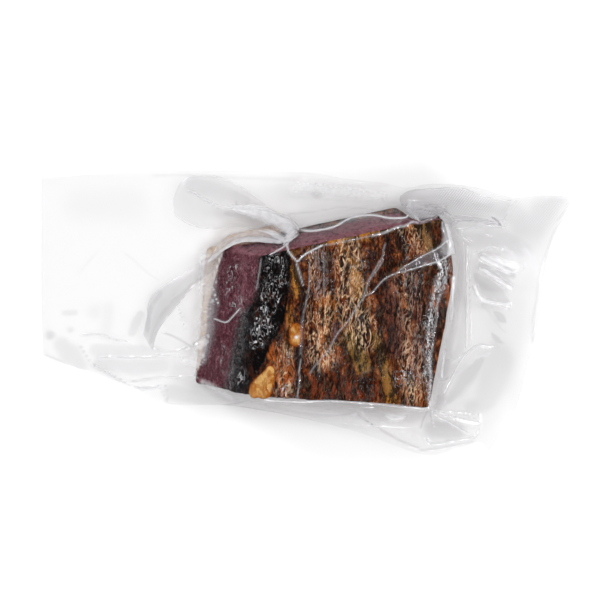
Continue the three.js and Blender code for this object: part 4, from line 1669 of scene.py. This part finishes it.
    lacy: tuple[Patch, ...] = (
        Patch(((66.5, 25.5), (67, 20.5), (64.5, 14.5), (61, 0.5), (59.5, -19.5)),
              (4, 4, 3.5, 3, 2.5), 1, 0.3),
        Patch(((59.5, -19.5), (60, -46)), (2.5, 2.5, 1.5), 0.8, 0.3),
        Patch(((69.5, 25.5), (69, 19), (66.5, 11.5)), (3, 2.5), 0.7, 0.3),
        Patch(((57, -18.5), (58.5, -24.5), (58.5, -31.5)), (2.5, 2), 0.6, 0.2),
        Patch(((35.5, 25.5), (32.5, 19)), (2, 1.5), 0.4, 0.2),
        Patch(((-32.5, 6.5), (-34.5, -13.5), (-40.5, -36)), (3, 4, 4), 0.3, 0.2),
    )
    crinkled: tuple[Patch, ...] = (
        Patch(((-17, 25.5), (-18.5, 6.5), (-26.5, -11), (-33.5, -32.5)), (8, 7.5, 6.5, 6), 1, 0.5),
        Patch(((46.5, 31.5), (46, 11.5), (46.5, -6)), (4.5, 4.5, 4), 1, 0.3),
        Patch(((45, -33.5), (51, -31.5)), (7, 6), 1, 0.3),
        Patch(((57, -19.5), (58, -32.5)), 4.5, 1, 0.3),
        Patch(((-38.5, 20.5), (-37.5, 6.5)), 7, 1, 0.4),
        Patch(((-46, -17.5), (-49.5, -33.5)), (7, 6), 1, 0.3),
        Patch(((-12.5, -21.5), (-12.5, -39.5)), 8, 0.8),
        Patch(((-8, 5.5), (-9.5, -3.5)), (3.5, 3), 0.9, 0.3),
        Patch(((8, 25.5), (9.5, 6.5), (9.5, -19.5)), (10, 11, 11), 0.5),
        Patch(((23.5, 25.5), (26.5, -2.5)), 7, 0.5),
        Patch(((50, 38.5), (47, 25.5)), (6, 4), 0.9),
        Patch(((55, 16.5), (58, -8.5), (53, -31.5)), 6, 0.6),
    )
    heights: HeightField = field(init=False)

    def block_heights(self) -> Array:
        """The ham's highest point in each cell of the raster.

        It is widened by two cells each way, so that the film clears the ham.

        Returns:
            The heights, 0 off the ham.
        """
        blank = HeightField()
        rows, columns = blank.values.shape
        i = np.round((self.ham[:, 0] + blank.reach[0]) / blank.step).astype(int)
        j = np.round((self.ham[:, 1] + blank.reach[1]) / blank.step).astype(int)
        tall = np.zeros((rows, columns))
        np.maximum.at(tall, (j, i), self.ham[:, 2])
        for _ in range(2):
            wide = tall.copy()
            wide[1:] = np.maximum(wide[1:], tall[:-1])
            wide[:-1] = np.maximum(wide[:-1], tall[1:])
            wide[:, 1:] = np.maximum(wide[:, 1:], tall[:, :-1])
            wide[:, :-1] = np.maximum(wide[:, :-1], tall[:, 1:])
            tall = wide
        return tall

    def upper(self) -> HeightField:
        """The upper film: a sheet stretched over the ham and down to the margin.

        A sheet that drops by d across a bridge of width w curves by 2 d / w^2, and each pass takes off a
        quarter of that times the step squared.

        Returns:
            Its heights.
        """
        film = HeightField()
        x, y = film.grid()
        margin = self.margin.height(x, y)
        tall = self.block_heights()
        rest = np.where(tall > 2.0, tall + self.clearance, 0.0)
        rest = np.maximum(rest, margin + self.thickness / 2)
        width = (
            self.bridge
            + (self.bridge_left - self.bridge) * smooth(-20.0, -70.0, x)
            + (self.bridge_right - self.bridge) * smooth(50.0, 80.0, x)
        )
        sag = 2 * (self.ham[:, 2].max() - margin) / width**2 * film.step**2 / 4
        film.stretch(rest, sag, self.passes)
        return film

    def lower(self) -> HeightField:
        """The lower film: flat under the block, and drawn up to the margin round it.

        It is stretched as the upper film is, upside down.

        Returns:
            Its heights.
        """
        film = HeightField()
        x, y = film.grid()
        foot = self.block_heights() > 0.0
        rest = np.where(foot, 0.0, np.maximum(self.margin.height(x, y) - self.thickness / 2, 0.05))
        sag = np.full(x.shape, 2 * self.margin.climb[1] / self.bridge_under**2 * film.step**2 / 4)
        film.stretch(-rest, sag, self.passes)
        film.values = np.maximum(-film.values, 0.0)
        return film

    def creased(self, seen: Array, slope: Array) -> tuple[Array, Array, Array]:
        """Works out the creases and the marks, whose gleams fade where the film is steep.

        Args:
            seen: Where the camera sees the film's points, one row each.
            slope: How steep the film is at each.

        Returns:
            How far the film is raised, its haze and its gleam.
        """
        raised = np.zeros(len(seen))
        # The haze is partly painted shade and the gleam a painted highlight.
        haze, gleam = self.marks.over(seen)
        gleam *= smooth(*self.steep, slope)
        for crease in self.creases:
            height, shown = crease.over(seen)
            raised = np.maximum(raised, height)
            haze = np.maximum(haze, crease.haze * shown)
            gleam = np.maximum(gleam, 0.9 * crease.gleam * shown**1.3)
        return raised, haze, gleam

    def build(self) -> bpy.types.Object:
        """Makes the bag and keeps its upper film's heights for the flaps.

        Both faces share one grid in plan. The upper face stands at the upper film's height plus its creases,
        which are half as high on the ham and fade out towards the rim.

        Returns:
            The dressed bag.
        """
        self.heights = self.upper()
        grid = self.plan.grid(self.columns, self.rows)
        shape, flat = grid.shape[:2], grid.reshape(-1, 2)
        x, y = flat.T
        upper_z, lower_z = self.heights.at(x, y), self.lower().at(x, y)
        seen = self.plan.seen(np.column_stack([flat, upper_z]))
        slopes = np.hypot(*np.gradient(self.heights.values, self.heights.step))
        raised, haze, gleam = self.creased(seen, HeightField.holding(slopes).at(x, y))

        on_block = (self.block_heights() > self.block_floor).astype(float)
        cling = HeightField.holding(on_block).at(x, y)
        loose = (1 - cling) * smooth(*self.loose_x, x)
        raised += loose * self.loose_swell * np.maximum(fractal_noise(flat, (16, 11), 41), 0)
        (row, column), (rows, columns) = np.indices(shape), np.array(shape) - 1
        lines_in = np.minimum(np.minimum(row, rows - row), np.minimum(column, columns - column))
        raised *= 1 - 0.5 * cling
        raised *= smooth(0, self.free_lines, lines_in.ravel())
        upper_z = np.maximum(upper_z, lower_z + self.thickness) + raised

        top, bottom = (np.column_stack([flat, z]).reshape(*shape, 3) for z in (upper_z, lower_z))
        vertices, quads, triangles, source = closed_sheet(top, bottom, 2)
        piece = make_mesh("bag_film", self.plan.place(vertices), quads, triangles)
        above = np.arange(len(source)) < len(flat)
        haze, gleam, cling = (np.where(above, share[source], 0.0) for share in (haze, gleam, cling))
        emboss = self.emboss * smooth(*self.emboss_x, x + self.emboss_slant * y)
        seen = self.plan.seen(vertices)
        values = {
            "haze": haze,
            "gleam": gleam,
            "crinkle": cling * (0.3 + 0.7 * all_over(self.crinkled, seen)),
            "lacy": cling * all_over(self.lacy, seen),
            "emboss": emboss[source],
        }
        set_attributes(piece, values)
        piece.data.materials.append(FilmFinish("clear_film").material())
        piece.data.materials.append(FilmFinish("clinging_film", clings=True).material())
        tight = np.zeros(len(piece.data.polygons), np.int32)
        tight[: len(quads)] = np.any(cling[quads] > 0, axis=1)
        piece.data.polygons.foreach_set("material_index", tight)
        return piece


@dataclass(frozen=True)
class FilmFlap:
    """A fold of spare film that lies over the bag, between two edges given where the camera sees them."""

    name: str
    far_edge: Path
    near_edge: Path
    lift: Point
    swell: float
    haze: Point
    marks: Marks = Marks()
    creases: tuple[Crease, ...] = ()
    gleam: float = 0.1
    emboss: float = 0.0
    emboss_runs_out: Point = (1.0, 0.6)
    guess: float = 12.0
    roughness: float = 0.2
    thickness: float = 0.25
    columns: int = 150
    rows: int = 60

    def settle(self, plan: Plan, film: HeightField, seen: Array, lift: Array) -> Array:
        """Finds the points that stand above the film by the lift and are seen in the given places.

        The height is guessed, the point is carried along its line of sight to that height, and the film is
        read there again, four times over.

        Args:
            plan: The pack's plan.
            film: The heights of the bag's upper film.
            seen: Seen places, one row each.
            lift: How far each stands above the film.

        Returns:
            The points.
        """
        x, y, z = plan.camera
        height = np.full(len(seen), self.guess)
        for _ in range(4):
            scale = (z - height) / (z - plan.seen_height)
            flat = np.array([x, y]) + (seen - np.array([x, y])) * scale[:, None]
            height = film.at(*flat.T) + lift
        return np.column_stack([flat, height])

    def build(self, plan: Plan, film: HeightField) -> bpy.types.Object:
        """Makes the flap.

        A point at share u along and v across is seen between the two edges' points at u. It stands above
        the film by the lift, blended from the near edge to the far one, plus the swell times 4 v (1 - v), a
        slow ripple and its creases.

        Args:
            plan: The pack's plan.
            film: The heights of the bag's upper film.

        Returns:
            The dressed flap.
        """
        u = np.linspace(0, 1, self.columns + 1)
        v = np.linspace(0, 1, self.rows + 1)[:, None, None]
        near, far = Route(self.near_edge, 16).at(u), Route(self.far_edge, 16).at(u)
        grid = near[None] * (1 - v) + far[None] * v
        seen = grid.reshape(-1, 2)
        share = np.broadcast_to(v[..., 0], grid.shape[:2]).ravel()
        along = np.broadcast_to(u[None], grid.shape[:2]).ravel()
        lift = self.lift[0] + (self.lift[1] - self.lift[0]) * share
        lift += self.swell * 4 * share * (1 - share) * smooth(0.0, 0.12, along) * smooth(1.0, 0.88, along)
        lift += 0.35 * fractal_noise(seen, (22, 8), 51)
        haze, gleam = self.marks.over(seen)
        lines_in = np.minimum(share, 1 - share) * self.rows
        edge = np.minimum(lines_in, np.minimum(along, 1 - along) * self.columns)
        haze = np.maximum(haze, self.haze[0] + (self.haze[1] - self.haze[0]) * along)
        # A painted highlight along the flap's long edges.
        gleam = np.maximum(gleam, self.gleam * smooth(2.5, 0.0, lines_in))
        for crease in self.creases:
            height, shown = crease.over(seen)
            lift += height * smooth(0.0, 4.0, edge)
            haze = np.maximum(haze, crease.haze * shown)
            gleam = np.maximum(gleam, crease.gleam * shown**2)
        bottom = self.settle(plan, film, seen, np.maximum(lift, 0.3))
        top = bottom + np.array([0, 0, self.thickness])
        shape = (*grid.shape[:2], 3)
        vertices, quads, triangles, source = closed_sheet(top.reshape(shape), bottom.reshape(shape), 2)
        piece = make_mesh(self.name, plan.place(vertices), quads, triangles)
        emboss = self.emboss * smooth(*self.emboss_runs_out, along)
        set_attributes(piece, {"haze": haze[source], "gleam": gleam[source], "emboss": emboss[source]})
        piece.data.materials.append(FilmFinish("folded_film", roughness=self.roughness).material())
        return piece


# Each flap's veils are partly painted shade and its gleams painted highlights.
FLAPS = (
    FilmFlap(
        "left_sail",
        far_edge=(
            (-83, -10.5), (-82, -6), (-81, -1), (-81, 2.5), (-80, 6.5), (-78.5, 9), (-76, 11.5),
            (-73, 13.5), (-68.5, 16.5), (-63.5, 19.5), (-58.5, 22.5), (-54.5, 25.5), (-49.5, 28.5),
            (-44.5, 31.5),
            (-38.5, 36), (-32, 38.3), (-26, 38.5), (-20.5, 38.3), (-14, 37),
        ),
        near_edge=(
            (-81, -14), (-78.5, -18), (-77.5, -14.5), (-76.5, -11), (-74.5, -7), (-72, -3.5), (-68.5, 0.5),
            (-65.5, 4.5), (-62, 8.5), (-58.5, 12.5), (-54.5, 16), (-51, 19), (-48, 21.5), (-44.5, 29.5),
            (-39.5, 33), (-36.5, 34.5), (-32, 35.5), (-26, 35.5), (-20.5, 35), (-13.5, 34.5),
        ),
        lift=(1.0, 0.6),
        swell=0.9,
        haze=(0.07, 0.03),
        marks=Marks(
            veils=(
                Patch(((-79, -14.5), (-73, -1.5), (-54.5, 17)), (3, 3.5, 4, 4, 2.5), 0.12, 0.2),
                Patch(((-81, -8.5), (-79.5, 1.5), (-74.5, 10)), (2, 2.5, 2.5), 0.12, 0.2),
            ),
            gleams=(
                Patch(((-50.5, 25.5), (-43.5, 32), (-34.5, 36), (-24.5, 36.5), (-13.5, 35.5)),
                      (1, 3.5, 4, 3, 2), 0.55, 0.2),
            ),
        ),
        creases=(
            Crease(((-78, -17), (-75.5, -10), (-71, -3), (-63.5, 6), (-54.5, 15.5)), 0.9, 0.7, 0.15, 0.15),
        ),
        gleam=0.25,
    ),
    FilmFlap(
        "far_left_ear",
        far_edge=(
            (-67.5, 58.5), (-65.5, 63.5), (-63.5, 66), (-61, 68), (-57, 68.5), (-49.5, 69), (-40.5, 66.5),
            (-36.5, 64.5), (-33, 62.5), (-29.5, 60), (-26, 57.5), (-23, 55), (-20.5, 52.5), (-15, 50),
            (-12, 49), (-9.5, 47.5), (-7.5, 46), (-5.5, 43.5), (-5, 41.5),
        ),
        near_edge=(
            (-68, 57), (-68, 53), (-67, 49), (-64, 46.5), (-59.5, 44), (-54.5, 42.5), (-47, 42),
            (-40.5, 42.5), (-34.5, 42.5), (-28.5, 42), (-23.5, 40.5), (-19.5, 39), (-16.5, 36.5),
            (-13.5, 35), (-11, 35.5),
            (-8.5, 37), (-6, 39), (-5, 41),
        ),
        lift=(0.5, 0.5),
        swell=1.2,
        haze=(0.02, 0.02),
        marks=Marks(
            veils=(
                Patch(((-59.5, 63.5), (-47, 61.5), (-32, 56)), (6, 7, 4), 0.06, 0.3),
                Patch(((-42, 50), (-17, 45), (-9, 41)), (2, 6, 7, 4), 0.06),
            ),
            gleams=(
                Patch(((-38, 52.5), (-23.5, 50), (-14.5, 45.5), (-9, 40.5), (-11, 36.5)),
                      (2, 4.5, 6, 5, 3), 0.6, 0.2),
                Patch(((-25, 41), (-17, 38.5), (-12.5, 36)), (1, 3.5, 3), 0.6, 0.1),
            ),
        ),
        creases=(
            Crease(((-61, 61), (-58.5, 60.5), (-47, 54), (-43.5, 53), (-22, 51.5), (-18.5, 50.5)),
                   1, (0.7, 1), 0.12, 0.95, Fold.CREST),
            Crease(((-18.5, 50.5), (-12, 48.5), (-9.5, 47), (-6, 43), (-5.5, 41)),
                   1, 1.2, 0.1, 0.95, Fold.CREST),
        ),
        gleam=0.15,
    ),
    FilmFlap(
        "far_right_flap",
        far_edge=(
            (45, 56.5), (45.5, 58.5), (47.5, 60), (51, 61.5), (57.5, 62), (63.5, 62.5), (70, 63),
            (76.5, 62.5), (81, 61), (85, 59.5), (90, 58), (95, 56.5), (101, 56.5),
        ),
        near_edge=(
            (45.5, 55), (47.5, 52.5), (50, 50), (52.5, 47.5), (55.5, 45.5), (60, 47), (65, 49.5), (69, 50),
            (73, 46), (77.5, 45.5), (84, 44.5), (90, 43), (96, 42.5),
        ),
        lift=(0.5, 0.5),
        swell=1.4,
        haze=(0.08, 0.0),
        marks=Marks(
            veils=(
                Patch(((51, 54.5), (65, 54.5)), (6, 6, 5), 0.05, 0.3),
                Patch(((65, 57.5), (75, 55.5)), (6, 5), 0.06),
                Patch(((71, 47.5), (80, 47), (90, 45)), (3, 4, 2.5), 0.07, 0.2),
            ),
            gleams=(
                Patch(((49, 51.5), (53, 48.5)), (2, 2.5), 0.4, 0.3),
                Patch(((51, 53), (58, 51.5), (66, 51.5)), (5, 5, 3.5), 0.35, 0.2),
            ),
        ),
        creases=(
            Crease(((46.5, 55), (55, 46)), 0.9, 0.9, 0.2, 0.6, Fold.CREST),
            Crease(((49.5, 49.5), (51.5, 52), (51.5, 55)), 0.9, 0.8, 0.2, 0.5, Fold.CREST),
            Crease(((72.5, 46), (80, 46.5), (92.5, 45), (95, 43.5)), 0.9, 0.8, 0.2, 0.8, Fold.CREST),
            Crease(((70, 48.5), (80, 48), (89, 46.5), (94.5, 44.5)), 0.8, 0.7, 0.2, 0.5, Fold.CREST),
            Crease(((91, 48), (94, 46), (95.5, 43.5)), 0.8, 0.6, 0.4),
        ),
        gleam=0.3,
        emboss=1.0,
    ),
    FilmFlap(
        "top_flap",
        far_edge=(
            (71.5, 37.5), (68, 36), (65, 33), (60, 30.5), (55, 28), (51, 25.5), (47, 23), (44.5, 21),
        ),
        near_edge=(
            (73, 30.5), (68.5, 28), (65, 26), (60, 24.5), (55, 23), (50, 21.5), (47, 20.5), (44, 20.5),
        ),
        lift=(0.5, 0.5),
        swell=0.3,
        haze=(0.0, 0.1),
        marks=Marks(
            veils=(Patch(((64, 30), (57, 27), (49, 23)), (4, 3, 1.5), 0.14, 0.4),),
            gleams=(Patch(((73, 36), (72, 29)), 4, 0.4, 0.5),),
        ),
        gleam=0.5,
        columns=70,
        rows=20,
    ),
)


# ---------------------------------------------------------------------------
# The studio
# ---------------------------------------------------------------------------


@dataclass(frozen=True)
class Softbox:
    """A square soft light aimed at the pack: where it hangs, its size and its power in watts.

    Glossy surfaces mirror it only if it is mirrored.
    """

    name: str
    place: tuple[float, float, float]
    size: float
    power: float
    mirrored: bool = True

    def build(self) -> None:
        """Hangs the light."""
        light = bpy.data.lights.new(self.name, "AREA")
        light.shape = "SQUARE"
        light.size = self.size
        light.energy = self.power
        lamp = bpy.data.objects.new(self.name, light)
        lamp.location = self.place
        lamp.rotation_euler = (-Vector(self.place)).to_track_quat("-Z", "Y").to_euler()
        lamp.visible_glossy = self.mirrored
        bpy.context.scene.collection.objects.link(lamp)


@dataclass(frozen=True)
class Studio:
    """A pale floor, three soft lights round the pack and one overhead, and a camera straight above it."""

    plan: Plan
    lens: float = 100.3
    sensor: float = 36.0
    nearest: float = 0.01
    floor_size: float = 6.0
    floor: Colour = (249, 249, 249)
    floor_roughness: float = 0.9
    lights: tuple[Softbox, ...] = (
        Softbox("key_softbox", (-0.75, 0.85, 0.95), 0.36, 4.5),
        Softbox("fill_softbox", (0.8, 0.2, 1.0), 0.36, 4.6),
        Softbox("near_softbox", (0.1, -0.78, 1.0), 0.36, 4.4),
        Softbox("top_softbox", (0.0, 0.0, 1.3), 0.8, 6.5, mirrored=False),
    )
    room: tuple[float, float, float, float] = (1.0, 1.0, 1.02, 1.0)
    backdrop: tuple[float, float, float, float] = (0.9, 0.9, 0.9, 1.0)
    ceiling: Point = (0.75, 0.93)
    room_strength: Point = (0.42, 0.05)

    def build(self) -> None:
        """Makes the floor, the lights, the surroundings and the camera."""
        half = self.floor_size / 2
        corners = np.array([(-half, -half, 0), (half, -half, 0), (half, half, 0), (-half, half, 0)])
        floor = make_mesh("studio_floor", corners, np.array([[0, 1, 2, 3]]), NO_TRIANGLES)
        t = Tree(bpy.data.materials.new("studio_floor_paint"))
        look = {"Base Color": linear(self.floor), "Roughness": self.floor_roughness}
        floor.data.materials.append(t.finish(t.add("BsdfPrincipled", look)))
        for light in self.lights:
            light.build()
        self.surroundings()
        self.camera()

    def surroundings(self) -> None:
        """Soft surroundings for the film to mirror: grey, dim overhead, and pale to the camera's own rays."""
        world = bpy.data.worlds.new("studio_surroundings")
        bpy.context.scene.world = world
        t = Tree(world)
        up = t.add("SeparateXYZ", {0: t.add("TexCoord", output="Generated")}, output="Z")
        strength = t.add("MapRange", dict(enumerate((up, *self.ceiling, *self.room_strength))))
        room = t.add("Background", {"Color": self.room, "Strength": strength})
        backdrop = t.add("Background", {"Color": self.backdrop})
        looks = t.add("LightPath", output="Is Camera Ray")
        t.finish(t.add("MixShader", {0: looks, 1: room, 2: backdrop}))

    def camera(self) -> None:
        """Hangs the camera at the photograph's viewing angle."""
        lens = bpy.data.cameras.new("camera")
        lens.lens = self.lens
        lens.sensor_width = self.sensor
        lens.clip_start = self.nearest
        camera = bpy.data.objects.new("camera", lens)
        camera.location = self.plan.place(np.array(self.plan.camera))
        bpy.context.scene.collection.objects.link(camera)
        bpy.context.scene.camera = camera


# ---------------------------------------------------------------------------
# The whole
# ---------------------------------------------------------------------------


def show(piece: bpy.types.Object) -> None:
    """Rides a finished piece on the pack's body in place of its solid, and reports it."""
    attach(piece, BODY)
    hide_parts(NODE)
    LOG.info("%s: %d vertices, %d faces", piece.name, len(piece.data.vertices), len(piece.data.polygons))


def main() -> None:
    """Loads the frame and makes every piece."""
    logging.basicConfig(level=logging.INFO, format="%(message)s")
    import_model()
    scene = bpy.context.scene
    scene.view_settings.view_transform = "Standard"
    scene.cycles.transparent_max_bounces = 32

    plan = Plan()
    Studio(plan).build()
    block, ham_points = HamBlock(plan).build()
    show(block)
    bag = BagFilm(plan, ham_points)
    show(bag.build())
    for flap in FLAPS:
        show(flap.build(plan, bag.heights))


if __name__ == "__main__":
    main()
